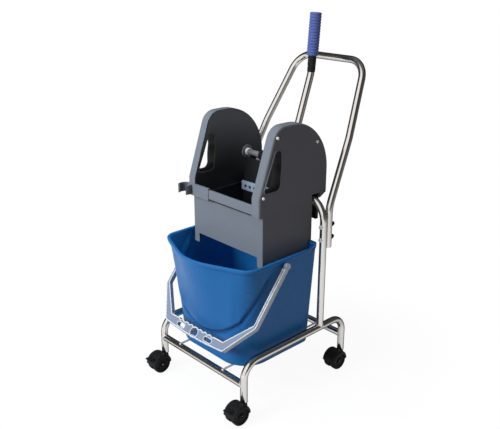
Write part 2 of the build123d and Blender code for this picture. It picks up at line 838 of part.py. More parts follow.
# Wringer box: four walls below the cheeks, notched at the back for the bucket's rim
foot_z = rim_z - foot_dip
panel_z = rim_z - panel_dip
side_z = rim_z - side_dip
box_rear_z = rim_z + rear_clear
box_in = box_half - box_wall
drain_depth = box_depth - 2 * box_wall
with BuildPart() as wringer_box:
    with BuildSketch(Plane.XY.offset(foot_z)):
        with Locations((0, box_front_y)):
            Rectangle(2 * box_half, box_depth, align=(Align.CENTER, Align.MIN))
        with Locations((0, box_front_y + box_wall)):
            Rectangle(2 * box_in, drain_depth, align=(Align.CENTER, Align.MIN), mode=Mode.SUBTRACT)
    extrude(amount=cheek_base_z - foot_z)
    with BuildSketch(Plane.XY.offset(cheek_base_z - box_ledge_t)):
        for sign in (-1, 1):
            with Locations((sign * (box_half - box_ledge_w / 2), box_front_y)):
                Rectangle(box_ledge_w, box_depth, align=(Align.CENTER, Align.MIN))
    extrude(amount=box_ledge_t)
    with BuildSketch(Plane.XZ.offset(-box_front_y)):
        with Locations((0, foot_z)):
            Rectangle(2 * (box_half - foot_w), panel_z - foot_z, align=(Align.CENTER, Align.MIN))
    extrude(amount=-box_wall, mode=Mode.SUBTRACT)
    with BuildSketch(Plane.YZ.offset(-box_half)):
        with Locations((box_front_y + foot_w, foot_z)):
            Rectangle(box_depth, side_z - foot_z, align=(Align.MIN, Align.MIN))
        with Locations((box_back_y - rear_notch, foot_z)):
            Rectangle(rear_notch, box_rear_z - foot_z, align=(Align.MIN, Align.MIN))
    extrude(amount=2 * box_half, mode=Mode.SUBTRACT)
    with BuildSketch(Plane.XZ.offset(-box_back_y)):
        with Locations((0, cheek_base_z)):
            Rectangle(2 * cheek_in, cheek_skirt, align=(Align.CENTER, Align.MIN))
    extrude(amount=box_wall)
    box_edges = wringer_box.edges().filter_by(Axis.Z).group_by(Axis.Y)[0]
    fillet([box_edges.sort_by(Axis.X)[0], box_edges.sort_by(Axis.X)[-1]], box_edge_round)
save(wringer_box, "wringer_box")

# Front lip: channel that closes the front between the cheeks
with BuildPart() as front_lip:
    with BuildSketch(Plane.YZ.offset(-cheek_in)):
        with Locations((cheek_front_y, cheek_base_z)):
            Rectangle(lip_wall, lip_band_h, align=(Align.MIN, Align.MIN))
            Rectangle(lip_step + box_wall, lip_wall, align=(Align.MIN, Align.MIN))
        with Locations((cheek_front_y, cheek_base_z + lip_band_h)):
            Rectangle(lip_flange, lip_wall, align=(Align.MIN, Align.MAX))
    extrude(amount=2 * cheek_in)
    fillet(front_lip.edges().filter_by(Axis.X).group_by(Axis.Z)[-1], lip_edge_round)
save(front_lip, "wringer_front_lip")

# Drain grid in the bottom of the box
slot_pitch = 2 * box_in / (drain_slots + 1)
with BuildPart() as drain:
    with BuildSketch(Plane.XY.offset(box_rear_z + drain_lift)):
        with Locations((0, box_front_y + box_depth / 2)):
            Rectangle(2 * box_in, drain_depth)
            with GridLocations(slot_pitch, 1, drain_slots, 1):
                SlotOverall(drain_depth - 2 * drain_slot_end, drain_slot_w, rotation=90, mode=Mode.SUBTRACT)
    extrude(amount=drain_t)
save(drain, "drain_grid")

# Hanger hooks over the cross bar
hook_x = cheek_half - hook_inset
with BuildPart() as hooks:
    for sign in (-1, 1):
        with BuildSketch(Plane.YZ.offset(sign * hook_x - hook_w / 2)):
            with Locations((box_back_y, saddle_z)):
                Rectangle(hook_back_y + hook_tail_t - box_back_y, saddle_t, align=(Align.MIN, Align.MAX))
            with Locations((hook_back_y, saddle_z)):
                Rectangle(hook_tail_t, hook_tail_len, align=(Align.MIN, Align.MAX))
        extrude(amount=hook_w)
save(hooks, "hanger_hooks")

# Fixed axle of the jaw and flanged bushes for both shafts
shaft_r = shaft_d / 2
liner_back = cheek_in + liner_t
with BuildPart() as axle:
    with Locations((0, axle_y, axle_z)):
        Cylinder(shaft_r, 2 * liner_back, rotation=(0, 90, 0))
save(axle, "jaw_axle")

with BuildPart() as bushes:
    for sign in (-1, 1):
        with BuildSketch(Plane.YZ.offset(sign * cheek_in)):
            with Locations(*shaft_spots):
                Circle(bush_flange_d / 2)
        extrude(amount=-sign * bush_flange_t, taper=bush_taper)
        with BuildSketch(Plane.YZ.offset(sign * (cheek_in - bush_flange_t))):
            with Locations(*shaft_spots):
                Circle(bush_flange_d / 2 - bush_rim)
                Circle(bush_sleeve_d / 2, mode=Mode.SUBTRACT)
        extrude(amount=sign * bush_dish, mode=Mode.SUBTRACT)
        with BuildSketch(Plane.YZ.offset(sign * cheek_in)):
            with Locations(*shaft_spots):
                Circle(bush_sleeve_d / 2)
        extrude(amount=sign * liner_t)
    with Locations((0, axle_y, axle_z)):
        Cylinder(shaft_r, 3 * cheek_half, rotation=(0, 90, 0), mode=Mode.SUBTRACT)
    with Locations((0, lever_y, lever_z)):
        Cylinder(shaft_r + running_gap, 3 * cheek_half, rotation=(0, 90, 0), mode=Mode.SUBTRACT)
save(bushes, "shaft_bushes")

with BuildPart() as lever_shaft:
    with Locations((0, lever_y, lever_z)):
        Cylinder(shaft_r, 2 * liner_back, rotation=(0, 90, 0))
save(lever_shaft, "lever_shaft")


def gear_outline(centre, teeth, first_angle, bore):
    """Toothed sector with involute flanks, its first tooth at an angle from +Y to +Z."""
    pitch_r = gear_module * teeth / 2
    press = radians(pressure_angle)
    base_r = pitch_r * cos(press)
    root_r = pitch_r - gear_dedendum * gear_module
    tip_r = pitch_r + gear_addendum * gear_module
    thick = (gear_module * pi / 2 - gear_backlash / 2) / pitch_r
    start = max(root_r, base_r)

    def half_angle(radius):
        """Half of a tooth's angle at a radius, from the involute of the base circle."""
        roll = acos(min(base_r / radius, 1.0))
        return thick / 2 + tan(press) - press - (tan(roll) - roll)

    radii = [start + (tip_r - start) * step / 4 for step in range(5)]
    flank = [(r, half_angle(r)) for r in radii]
    flank = [(root_r - gear_module / 4, half_angle(start))] + flank
    step_deg = 360 / teeth
    span = (toothed - 1) * step_deg
    with BuildSketch(Plane.YZ) as view:
        Circle(bore + gear_module * 2)
        for index in range(toothed):
            mid = radians(first_angle + index * step_deg)
            side_a = [(r * cos(mid - a), r * sin(mid - a)) for r, a in flank]
            side_b = [(r * cos(mid + a), r * sin(mid + a)) for r, a in reversed(flank)]
            Polygon(*side_a, *side_b, align=None)
        fan = [radians(first_angle + (span + step_deg) * k / 8 - step_deg / 2) for k in range(9)]
        Polygon((0, 0), *[(root_r * cos(a), root_r * sin(a)) for a in fan], align=None)
        Circle(bore, mode=Mode.SUBTRACT)
    return Pos(*centre) * view.sketch_local


# Pinions on the lever shaft and the toothed sectors of the jaw that they drive
to_axle = 180 + gear_line_angle
pinion_first = to_axle - pinion_lead * 360 / pinion_teeth
sector_first = gear_line_angle - sector_lead * 360 / sector_teeth
gear_faces = [
    ("drive_pinions", (lever_y, lever_z), pinion_teeth, pinion_first, shaft_r),
    ("jaw_sectors", (axle_y, axle_z), sector_teeth, sector_first, shaft_r + running_gap),
]
for gear_name, centre, teeth, first_angle, bore in gear_faces:
    with BuildPart() as gear:
        for sign in (-1, 1):
            with BuildSketch(Plane.YZ.offset(sign * gear_x - gear_w / 2)):
                add(gear_outline(centre, teeth, first_angle, bore))
            extrude(amount=gear_w)
    save(gear, gear_name)

# Jaw: plate hung from the axle by two arms, with a perforated press bar on its face
jaw_face_y = axle_y - jaw_forward - jaw_plate_t
jaw_top_z = axle_z - jaw_plate_drop_top
jaw_end_z = axle_z - jaw_plate_drop_end
arm_in = gear_x - gear_w / 2 - jaw_arm_t
with BuildPart() as jaw:
    with BuildSketch(Plane.XZ.offset(-jaw_face_y)):
        with Locations((0, jaw_end_z)):
            Rectangle(2 * jaw_half, jaw_top_z - jaw_end_z, align=(Align.CENTER, Align.MIN))
    extrude(amount=-jaw_plate_t)
    with BuildSketch(Plane.XY.offset(jaw_end_z)):
        with Locations((0, axle_y - jaw_forward)):
            with GridLocations(2 * arm_in / (jaw_ribs + 1), 1, jaw_ribs, 1):
                Rectangle(jaw_rib_t, jaw_rib_depth, align=(Align.CENTER, Align.MIN))
    extrude(amount=jaw_top_z - jaw_end_z)
    for arm_x in (-arm_in - jaw_arm_t, arm_in):
        with BuildSketch(Plane.YZ.offset(arm_x)):
            Polygon(
                (axle_y - jaw_boss_d / 2, axle_z),
                (axle_y + jaw_boss_d / 2, axle_z),
                (axle_y - jaw_forward + jaw_boss_d / 2, jaw_end_z + jaw_boss_d),
                (axle_y - jaw_forward, jaw_end_z),
                (axle_y - jaw_forward, jaw_top_z),
                align=None,
            )
            with Locations((axle_y, axle_z)):
                Circle(jaw_boss_d / 2)
        extrude(amount=jaw_arm_t)
    with Locations((0, axle_y, axle_z)):
        Cylinder(shaft_r + running_gap, 3 * cheek_half, rotation=(0, 90, 0), mode=Mode.SUBTRACT)
save(jaw, "jaw_plate")

press_bar_holes = int(2 * (jaw_half - press_bar_end) / press_bar_pitch) + 1
with BuildPart() as press_bar:
    with BuildSketch(Plane.XZ.offset(-jaw_face_y)):
        with Locations((0, axle_z - press_bar_drop)):
            Rectangle(2 * jaw_half, press_bar_h, align=(Align.CENTER, Align.MAX))
        with Locations((0, axle_z - press_bar_drop - press_bar_h / 2)):
            with GridLocations(press_bar_pitch, 1, press_bar_holes, 1):
                Circle(press_bar_hole_d / 2, mode=Mode.SUBTRACT)
    extrude(amount=press_bar_t)
    fillet(press_bar.edges().filter_by(Axis.X).group_by(Axis.Y)[0], press_bar_round)
save(press_bar, "press_bar")

# Lever: hub on the shaft, bent tube, collar and ribbed grip
lean = radians(lever_lean)
top_lean = radians(lever_top_lean)
foot_y = lever_y + lever_offset * cos(lean)
foot_z0 = lever_z - lever_offset * sin(lean)
lever_up = (0, sin(lean), cos(lean))
grip_up = (0, sin(top_lean), cos(top_lean))
bend = (0, foot_y + lever_bend_len * sin(lean), foot_z0 + lever_bend_len * cos(lean))
bend_run = lever_bend_r * tan((lean - top_lean) / 2)
tube_run = bend_run + collar_len + grip_len - grip_wrap
with BuildPart() as lever_hub:
    with Locations((0, lever_y, lever_z)):
        Cylinder(lever_hub_d / 2, lever_hub_w, rotation=(0, 90, 0))
    with BuildSketch(Plane(origin=(0, foot_y, foot_z0), z_dir=lever_up)):
        Circle(socket_d / 2)
    extrude(amount=socket_base + socket_len)
    fillet(lever_hub.edges().filter_by(GeomType.CIRCLE).sort_by(Axis.Z)[-1], socket_round)
    with BuildSketch(Plane(origin=(0, foot_y, foot_z0), z_dir=lever_up).offset(socket_base)):
        Circle(lever_d / 2)
    extrude(amount=socket_len, mode=Mode.SUBTRACT)
    with Locations((0, lever_y, lever_z)):
        Cylinder(shaft_r, 2 * lever_hub_w, rotation=(0, 90, 0), mode=Mode.SUBTRACT)
save(lever_hub, "lever_hub")

with BuildPart() as lever_tube:
    with BuildLine() as lever_path:
        FilletPolyline(
            (0, foot_y + socket_base * sin(lean), foot_z0 + socket_base * cos(lean)),
            bend,
            (0, bend[1] + tube_run * sin(top_lean), bend[2] + tube_run * cos(top_lean)),
            radius=lever_bend_r,
        )
    with BuildSketch(ring_start(lever_path.line)):
        Circle(lever_d / 2)
        Circle(lever_d / 2 - tube_wall, mode=Mode.SUBTRACT)
    sweep()
save(lever_tube, "lever_tube")

collar_plane = Plane(origin=bend, x_dir=(1, 0, 0), z_dir=grip_up).offset(bend_run)
with BuildPart() as collar:
    with BuildSketch(collar_plane):
        Circle(collar_d / 2)
        Circle(lever_d / 2, mode=Mode.SUBTRACT)
    extrude(amount=collar_len)
save(collar, "lever_collar")

rib_step = grip_len / (grip_ribs + 1)
with BuildPart() as grip:
    with BuildSketch(collar_plane.offset(collar_len)):
        Circle(grip_d / 2)
    extrude(amount=grip_len)
    fillet(grip.edges().sort_by(Axis.Z)[-1], grip_round)
    for index in range(grip_ribs):
        with BuildSketch(collar_plane.offset(collar_len + rib_step * (index + 0.75))):
            Circle(grip_d)
            Circle(grip_d / 2 - grip_rib_depth, mode=Mode.SUBTRACT)
        extrude(amount=rib_step / 2, mode=Mode.SUBTRACT)
    with BuildSketch(collar_plane.offset(collar_len)):
        Circle(lever_d / 2)
    extrude(amount=grip_len - grip_wrap, mode=Mode.SUBTRACT)
save(grip, "lever_grip")

# Mop clip: plate across the front lip with an open spring ring beside the wringer
clip_x = -(cheek_half + clip_out)
clip_y = cheek_front_y - clip_plate_t - clip_ahead
clip_z = cheek_base_z + lip_band_h - clip_plate_h / 2 + clip_plate_t
clip_out_r = clip_r + clip_wall
with BuildPart() as mop_clip:
    with BuildSketch(Plane.XZ.offset(-cheek_front_y)):
        with Locations((clip_x + clip_r, clip_z)):
            Rectangle(clip_plate_w + clip_out, clip_plate_h, align=(Align.MIN, Align.CENTER))
    extrude(amount=clip_plate_t)
    with BuildSketch(Plane.XY.offset(clip_z - clip_h / 2)):
        with Locations((clip_x, clip_y)):
            Circle(clip_out_r)
    extrude(amount=clip_h)
    mouth = radians(clip_mouth / 2)
    with BuildSketch(Plane.XY.offset(clip_z - clip_plate_h)):
        with Locations((clip_x, clip_y)):
            Circle(clip_r)
            Polygon(
                (0, 0),
                (-2 * clip_out_r * sin(mouth), -2 * clip_out_r * cos(mouth)),
                (2 * clip_out_r * sin(mouth), -2 * clip_out_r * cos(mouth)),
                align=None,
            )
    extrude(amount=2 * clip_plate_h, mode=Mode.SUBTRACT)
save(mop_clip, "mop_clip")
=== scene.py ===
"""Looks of a single mop bucket trolley, laid out as a Blender add-on and run as a script.

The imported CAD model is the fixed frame. Each operator makes one piece or one group of
like pieces as a surface worked out with numpy, gives it a procedural finish and lets it
ride on its CAD body.
"""

import json
import math
from functools import partial

import bmesh
import bpy
import numpy as np
from bpy.props import FloatProperty, FloatVectorProperty, IntProperty, PointerProperty
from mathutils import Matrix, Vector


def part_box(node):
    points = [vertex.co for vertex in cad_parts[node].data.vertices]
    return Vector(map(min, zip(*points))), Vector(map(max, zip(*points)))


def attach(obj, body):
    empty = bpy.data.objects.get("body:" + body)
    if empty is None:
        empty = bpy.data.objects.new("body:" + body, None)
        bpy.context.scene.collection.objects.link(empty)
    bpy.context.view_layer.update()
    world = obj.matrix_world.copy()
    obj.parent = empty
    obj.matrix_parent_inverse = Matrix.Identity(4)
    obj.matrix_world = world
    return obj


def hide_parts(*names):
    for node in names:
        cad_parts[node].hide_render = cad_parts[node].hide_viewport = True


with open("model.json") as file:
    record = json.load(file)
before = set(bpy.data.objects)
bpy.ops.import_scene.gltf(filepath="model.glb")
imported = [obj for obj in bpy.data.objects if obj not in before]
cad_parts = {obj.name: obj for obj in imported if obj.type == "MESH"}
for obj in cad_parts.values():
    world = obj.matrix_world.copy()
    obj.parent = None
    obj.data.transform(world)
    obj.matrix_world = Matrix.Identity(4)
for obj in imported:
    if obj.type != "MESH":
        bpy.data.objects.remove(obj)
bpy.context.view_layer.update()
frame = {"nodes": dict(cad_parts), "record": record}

bl_info = {
    "name": "Mop bucket trolley",
    "version": (1, 0, 0),
    "blender": (4, 5, 0),
    "location": "3D View > Sidebar > Trolley",
    "description": "Dresses the CAD frame of a mop bucket trolley and lights it in a plain studio",
    "category": "Object",
}


# Places read from the CAD frame


def low(node):
    """Lowest corner of a CAD node, in metres."""
    return np.array(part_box(node)[0], dtype=float)


def high(node):
    """Highest corner of a CAD node, in metres."""
    return np.array(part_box(node)[1], dtype=float)


def centre(node):
    """Middle of a CAD node's box, in metres."""
    return (low(node) + high(node)) / 2


TUBE_R = (high("front_cross_tube")[2] - low("front_cross_tube")[2]) / 2
SIDE_X = centre("side_rail_right")[0]
FRONT_Y = centre("front_cross_tube")[1]
REAR_Y = centre("rear_cross_tube")[1]
CROSS_Z = centre("front_cross_tube")[2]
LEG_Z = low("side_rail_right")[2]
RAIL_Z = high("side_rail_right")[2] - TUBE_R
POST_Y = centre("post_frame")[1]
POST_BAR_Z = high("post_frame")[2] - TUBE_R
HANDLE_Y = low("push_handle")[1] + TUBE_R
HANDLE_END_Z = low("push_handle")[2]
HANDLE_TOP_Y = high("push_handle")[1] - TUBE_R
HANDLE_TOP_Z = high("push_handle")[2] - TUBE_R
CORNERS = ("front_left", "front_right", "rear_left", "rear_right")

# Directions, angles and distances that hold for every piece
X, Y, Z = np.eye(3)
ROUND = 2 * math.pi
PATH_STEP = math.radians(5)
LOOP_STEP = math.radians(6)
PROFILE_STEP = math.radians(18)
MERGE = 1e-6
MERGE_CAD = 1e-5
FLAT_ANGLE = math.radians(0.6)
PIECE_CREASE = math.radians(38)
EASED_CREASE = math.radians(35)
TUBE_EDGE = 0.0004


# Surfaces


def surface(points, ring=False):
    """A grid of closed rows of points as (vertices, quads). In a ring the last row joins the first."""
    rows, columns = points.shape[:2]
    row = np.arange(rows if ring else rows - 1)[:, None]
    column = np.arange(columns)
    here, above = row * columns, (row + 1) % rows * columns
    beside = (column + 1) % columns
    quads = np.stack((here + column, above + column, above + beside, here + beside), axis=-1)
    return points.reshape(-1, 3), quads.reshape(-1, 4)


def capped(grid, ends=None):
    """A grid of closed rows drawn together at both ends: in the row's middle, or in given points."""
    ends = ends or (grid[0].mean(axis=0), grid[-1].mean(axis=0))
    first, last = (np.broadcast_to(end, grid[:1].shape) for end in ends)
    return surface(np.concatenate([first, grid, last]))


def unit(way):
    """A direction at length 1."""
    return way / np.linalg.norm(way)


def corner_arc(before, corner, after, radius, step):
    """Arc that turns a corner: centre + r (cos a e1 + sin a e2), a from 0 to the angle of the turn."""
    back = unit(before - corner)
    on = unit(after - corner)
    opening = math.acos(max(-1.0, min(1.0, back @ on)))
    middle = corner + unit(back + on) * radius / math.sin(opening / 2)
    first = corner + back * radius / math.tan(opening / 2) - middle
    last = corner + on * radius / math.tan(opening / 2) - middle
    side = unit(last - first * (first @ last) / radius**2) * radius
    turn = math.pi - opening
    angle = np.linspace(0, turn, max(3, int(turn / step) + 1))[:, None]
    return middle + np.cos(angle) * first + np.sin(angle) * side


def rounded_path(corners, radii, step=PATH_STEP):
    """An open polyline whose inner corners are turned on arcs."""
    corners = [np.array(c, dtype=float) for c in corners]
    turns = zip(corners, corners[1:], corners[2:], radii)
    arcs = [corner_arc(*turn, step) for turn in turns]
    return np.concatenate([corners[0][None], *arcs, corners[-1][None]])


def rounded_loop(corners, radii):
    """A closed polygon whose corners are turned on arcs."""
    corners = [np.array(c, dtype=float) for c in corners]
    turns = zip(corners[-1:] + corners[:-1], corners, corners[1:] + corners[:1], radii)
    return np.concatenate([corner_arc(*turn, LOOP_STEP) for turn in turns])


def rounded_box(first, last, radius):
    """A closed rectangle between two opposite corners, turned on arcs of one radius."""
    return rounded_loop((first, (last[0], first[1]), last, (first[0], last[1])), (radius,) * 4)


def mirrored(points, *middle):
    """Points, what lies in the middle, and the points' mirror images in x in turned order."""
    return (*points, *middle, *((-x, *rest) for x, *rest in reversed(points)))


def even_loop(loop, count):
    """Points spaced evenly along a closed polyline, by its running length."""
    closed = np.concatenate([loop, loop[:1]])
    run = np.concatenate([[0], np.cumsum(np.linalg.norm(np.diff(closed, axis=0), axis=1))])
    wanted = np.linspace(0, run[-1], count, endpoint=False)
    return np.column_stack([np.interp(wanted, run, line) for line in closed.T])


def tube_grid(path, radius, across, sides=28, closed=False):
    """Circles of a radius along a path. Each lies on two directions square to the path:
    the given direction with its share along the path taken off, and their cross product."""
    ahead = np.roll(path, -1, axis=0) - np.roll(path, 1, axis=0) if closed else np.gradient(path, axis=0)
    ahead /= np.linalg.norm(ahead, axis=1, keepdims=True)
    across = across - ahead * np.sum(across * ahead, axis=1, keepdims=True)
    across /= np.linalg.norm(across, axis=1, keepdims=True)
    up = np.cross(ahead, across)
    angle = np.linspace(0, ROUND, sides, endpoint=False)[None, :, None]
    return path[:, None] + radius * (np.cos(angle) * across[:, None] + np.sin(angle) * up[:, None])


def open_tube(path, outside, inside, across):
    """A tube with a bore: the outer circles run along the path and the inner ones back,
    with a small rounded edge at both ends, so that the skin is closed like a ring."""
    skin = tube_grid(path, outside, across)
    bore = tube_grid(path, inside, across)[::-1]
    edge = tube_grid(path, outside - TUBE_EDGE, across)
    skin[0] += unit(path[1] - path[0]) * TUBE_EDGE
    skin[-1] -= unit(path[-1] - path[-2]) * TUBE_EDGE
    return surface(np.concatenate([edge[:1], skin, edge[-1:], bore]), True)


def swung(profile, origin, axis, across, angles):
    """Grid of a profile of (distance along the axis, radius) at angles round the axis, a row for each
    of its points: origin + d axis + r (cos a across + sin a up), where up is square to both."""
    angles = angles[:, None]
    ring = np.cos(angles) * across + np.sin(angles) * np.cross(axis, across)
    along = origin + profile[:, :1] * axis
    return along[:, None] + profile[:, 1, None, None] * ring


def turned(profile, origin, axis, across, sides=48, closed=False):
    """A profile of (distance along the axis, radius) turned right round the axis."""
    angles = np.linspace(0, ROUND, sides, endpoint=False)
    return surface(swung(profile, origin, axis, across, angles), closed)


def rounded_profile(corners, radii):
    """A turned piece's profile with its corners rounded, as (distance, radius) rows."""
    return rounded_path(corners, radii, PROFILE_STEP)


def carried(loop, start, stop, steps=2):
    """A closed (y, z) loop carried along x from start to stop, as a grid of points."""
    x = np.linspace(start, stop, steps)[:, None]
    y, z = (np.broadcast_to(line, (steps, len(loop))) for line in loop.T)
    return np.stack([np.broadcast_to(x, y.shape), y, z], axis=-1)


# Pieces

FINISHES = {}
GROUPS = {}


def node_finish(node, slot):
    """A CAD node's own finish, or the one of its material slot."""
    own = "liner" if node.startswith("cheek_liner") else node
    return FINISHES.get(own, FINISHES[slot])


def clean(mesh, distance, flat=None):
    """Merges a mesh's points, joins flat facets or drops slivers, and turns the faces outwards."""
    skin = bmesh.new()
    skin.from_mesh(mesh)
    bmesh.ops.remove_doubles(skin, verts=skin.verts, dist=distance)
    if flat:
        bmesh.ops.dissolve_limit(skin, angle_limit=flat, verts=skin.verts, edges=skin.edges)
    else:
        bmesh.ops.dissolve_degenerate(skin, edges=skin.edges, dist=distance / 10)
    bmesh.ops.recalc_face_normals(skin, faces=skin.faces)
    skin.to_mesh(mesh)
    skin.free()


def put_mesh(mesh, finish, crease, body, nodes):
    """Makes a smooth object of a mesh, which rides on a body in place of CAD nodes."""
    mesh.materials.clear()
    mesh.materials.append(finish)
    mesh.shade_smooth()
    mesh.set_sharp_from_angle(angle=crease)
    made = bpy.data.objects.new(mesh.name, mesh)
    bpy.context.scene.collection.objects.link(made)
    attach(made, body)
    if nodes:
        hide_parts(*nodes)
    return made


def put_piece(name, parts, body, slot, *nodes, finish=None):
    """Joins (vertices, quads) pairs to one closed piece that rides on a body in place of CAD nodes."""
    counts = np.cumsum([0] + [len(v) for v, _ in parts])
    vertices = np.concatenate([v for v, _ in parts])
    quads = np.concatenate([q + n for (_, q), n in zip(parts, counts)])
    mesh = bpy.data.meshes.new(name)
    mesh.vertices.add(len(vertices))
    mesh.vertices.foreach_set("co", vertices.ravel())
    mesh.loops.add(quads.size)
    mesh.loops.foreach_set("vertex_index", quads.ravel())
    mesh.polygons.add(len(quads))
    mesh.polygons.foreach_set("loop_start", np.arange(0, quads.size, 4))
    mesh.update(calc_edges=True)
    clean(mesh, MERGE)
    return put_mesh(mesh, FINISHES[finish or slot], PIECE_CREASE, body, nodes)


def ease(node, body, slot, width, move=None):
    """A copy of a CAD moulding with its points merged, flat facets joined and sharp edges
    rounded, in place of the CAD node. A move maps the copy's points to new ones."""
    mesh = frame["nodes"][node].data.copy()
    mesh.name = f"{node}_eased"
    clean(mesh, MERGE_CAD, FLAT_ANGLE)
    if move:
        mesh.vertices.foreach_set("co", move(read_points(mesh, "co")).ravel())
        mesh.update()
    made = put_mesh(mesh, node_finish(node, slot), EASED_CREASE, body, (node,))
    edge = made.modifiers.new("edges", "BEVEL")
    edge.width = width
    edge.segments = 3
    edge.limit_method = "ANGLE"
    edge.angle_limit = EASED_CREASE
    edge.use_clamp_overlap = True
    edge.harden_normals = True


def read_points(mesh, name):
    """A vector of each of a mesh's points, as rows: its place or its normal."""
    values = np.empty(len(mesh.vertices) * 3)
    mesh.vertices.foreach_get(name, values)
    return values.reshape(-1, 3)


# Shader nodes


def add_node(tree, kind, links=(), **settings):
    """A node with its settings; values go on its sockets and pairs of (socket, source) are linked."""
    made = tree.nodes.new(kind)
    for key, value in settings.items():
        setattr(made, key, value)
    for socket, source in links:
        if hasattr(source, "is_output"):
            tree.links.new(source, made.inputs[socket])
        else:
            made.inputs[socket].default_value = source
    return made


def math_node(tree, operation, first, second):
    """The result of an operation on two values."""
    return add_node(tree, "ShaderNodeMath", ((0, first), (1, second)), operation=operation).outputs[0]


def noise(tree, place, scale, detail=2.0, roughness=0.5):
    """Noise at a place."""
    links = (("Vector", place), ("Scale", scale), ("Detail", detail), ("Roughness", roughness))
    return add_node(tree, "ShaderNodeTexNoise", links).outputs["Fac"]


def mapped(tree, value, start, stop, first=0.0, last=1.0, kind="LINEAR"):
    """A value mapped from one range to another and held at both ends."""
    ends = (("From Min", start), ("From Max", stop), ("To Min", first), ("To Max", last))
    return add_node(tree, "ShaderNodeMapRange", (("Value", value), *ends), interpolation_type=kind).outputs[0]


def mixed(tree, share, first, second):
    """Two colours mixed by a share."""
    links = ((0, share), (6, first), (7, second))
    return add_node(tree, "ShaderNodeMix", links, data_type="RGBA").outputs[2]


def mixed_shader(tree, share, first, second):
    """Two shaders mixed by a share."""
    return add_node(tree, "ShaderNodeMixShader", ((0, share), (1, first), (2, second))).outputs[0]


def vector_node(tree, operation, *links):
    """The outputs of an operation on vectors."""
    return add_node(tree, "ShaderNodeVectorMath", tuple(enumerate(links)), operation=operation).outputs


def axis_value(tree, vector, axis):
    """One coordinate of a vector."""
    return add_node(tree, "ShaderNodeSeparateXYZ", (("Vector", vector),)).outputs[axis]


def new_group(name, inputs, outputs):
    """A shader node group with named sockets, what it is given and what it results in."""
    group = bpy.data.node_groups.new(name, "ShaderNodeTree")
    for label, kind, value in inputs:
        socket = group.interface.new_socket(label, in_out="INPUT", socket_type=f"NodeSocket{kind}")
        if value is not None:
            socket.default_value = value
    for label, kind in outputs:
        group.interface.new_socket(label, in_out="OUTPUT", socket_type=f"NodeSocket{kind}")
    return group, group.nodes.new("NodeGroupInput").outputs, group.nodes.new("NodeGroupOutput").inputs


def make_drift_group():
    """Colour that drifts between a darker and a lighter neighbour of a base over the surface."""
    grey = (0.5, 0.5, 0.5, 1)
    inputs = (("Vector", "Vector", None), ("Colour", "Color", grey), ("Scale", "Float", 11.0))
    group, given, result = new_group(
        "Colour drift", (*inputs, ("Amount", "Float", 0.12)), (("Colour", "Color"), ("Value", "Float"))
    )
    cloud = noise(group, given["Vector"], given["Scale"], 4.0, 0.55)
    swing = math_node(group, "MULTIPLY", math_node(group, "SUBTRACT", cloud, 0.5), given["Amount"])
    links = (("Color", given["Colour"]), ("Value", math_node(group, "ADD", swing, 1.0)))
    tone = add_node(group, "ShaderNodeHueSaturation", links)
    group.links.new(tone.outputs["Color"], result["Colour"])
    group.links.new(cloud, result["Value"])
    return group


def make_grain_group():
    """Fine moulded grain: small cells and broad noise added as a height, and a roughness that follows."""
    inputs = (("Vector", "Vector", None), ("Scale", "Float", 900.0), ("Roughness", "Float", 0.5))
    group, given, result = new_group(
        "Mould grain", (*inputs, ("Spread", "Float", 0.16)), (("Height", "Float"), ("Roughness", "Float"))
    )
    links = (("Vector", given["Vector"]), ("Scale", given["Scale"]))
    cells = add_node(group, "ShaderNodeTexVoronoi", links).outputs["Distance"]
    broad = noise(group, given["Vector"], 38.0, 6.0)
    swing = math_node(group, "MULTIPLY", math_node(group, "SUBTRACT", broad, 0.5), given["Spread"])
    group.links.new(math_node(group, "ADD", cells, broad), result["Height"])
    group.links.new(math_node(group, "ADD", swing, given["Roughness"]), result["Roughness"])
    return group


def make_scuff_group():
    """Light scuffs: a stretched noise cut to thin streaks and thinned by a broad one, as a mask."""
    inputs = (("Vector", "Vector", None), ("Stretch", "Vector", (30.0, 30.0, 400.0)))
    group, given, result = new_group(
        "Handling scuffs", (*inputs, ("Amount", "Float", 0.3)), (("Mask", "Float"),)
    )
    stretched = vector_node(group, "MULTIPLY", given["Vector"], given["Stretch"])[0]
    streaks = mapped(group, noise(group, stretched, 1.0, 5.0), 0.6, 0.72)
    patches = mapped(group, noise(group, given["Vector"], 14.0), 0.5, 0.7)
    both = math_node(group, "MULTIPLY", streaks, patches)
    group.links.new(math_node(group, "MULTIPLY", both, given["Amount"]), result["Mask"])
    return group


def group_node(tree, name, *links):
    """The outputs of a shared group placed in a material with its own values."""
    return add_node(tree, "ShaderNodeGroup", links, node_tree=GROUPS[name]).outputs


def new_material(name):
    """A material with its node tree, its shader and its texture coordinates."""
    made = bpy.data.materials.new(name)
    made.use_nodes = True
    tree = made.node_tree
    return made, tree, tree.nodes["Principled BSDF"], add_node(tree, "ShaderNodeTexCoord").outputs


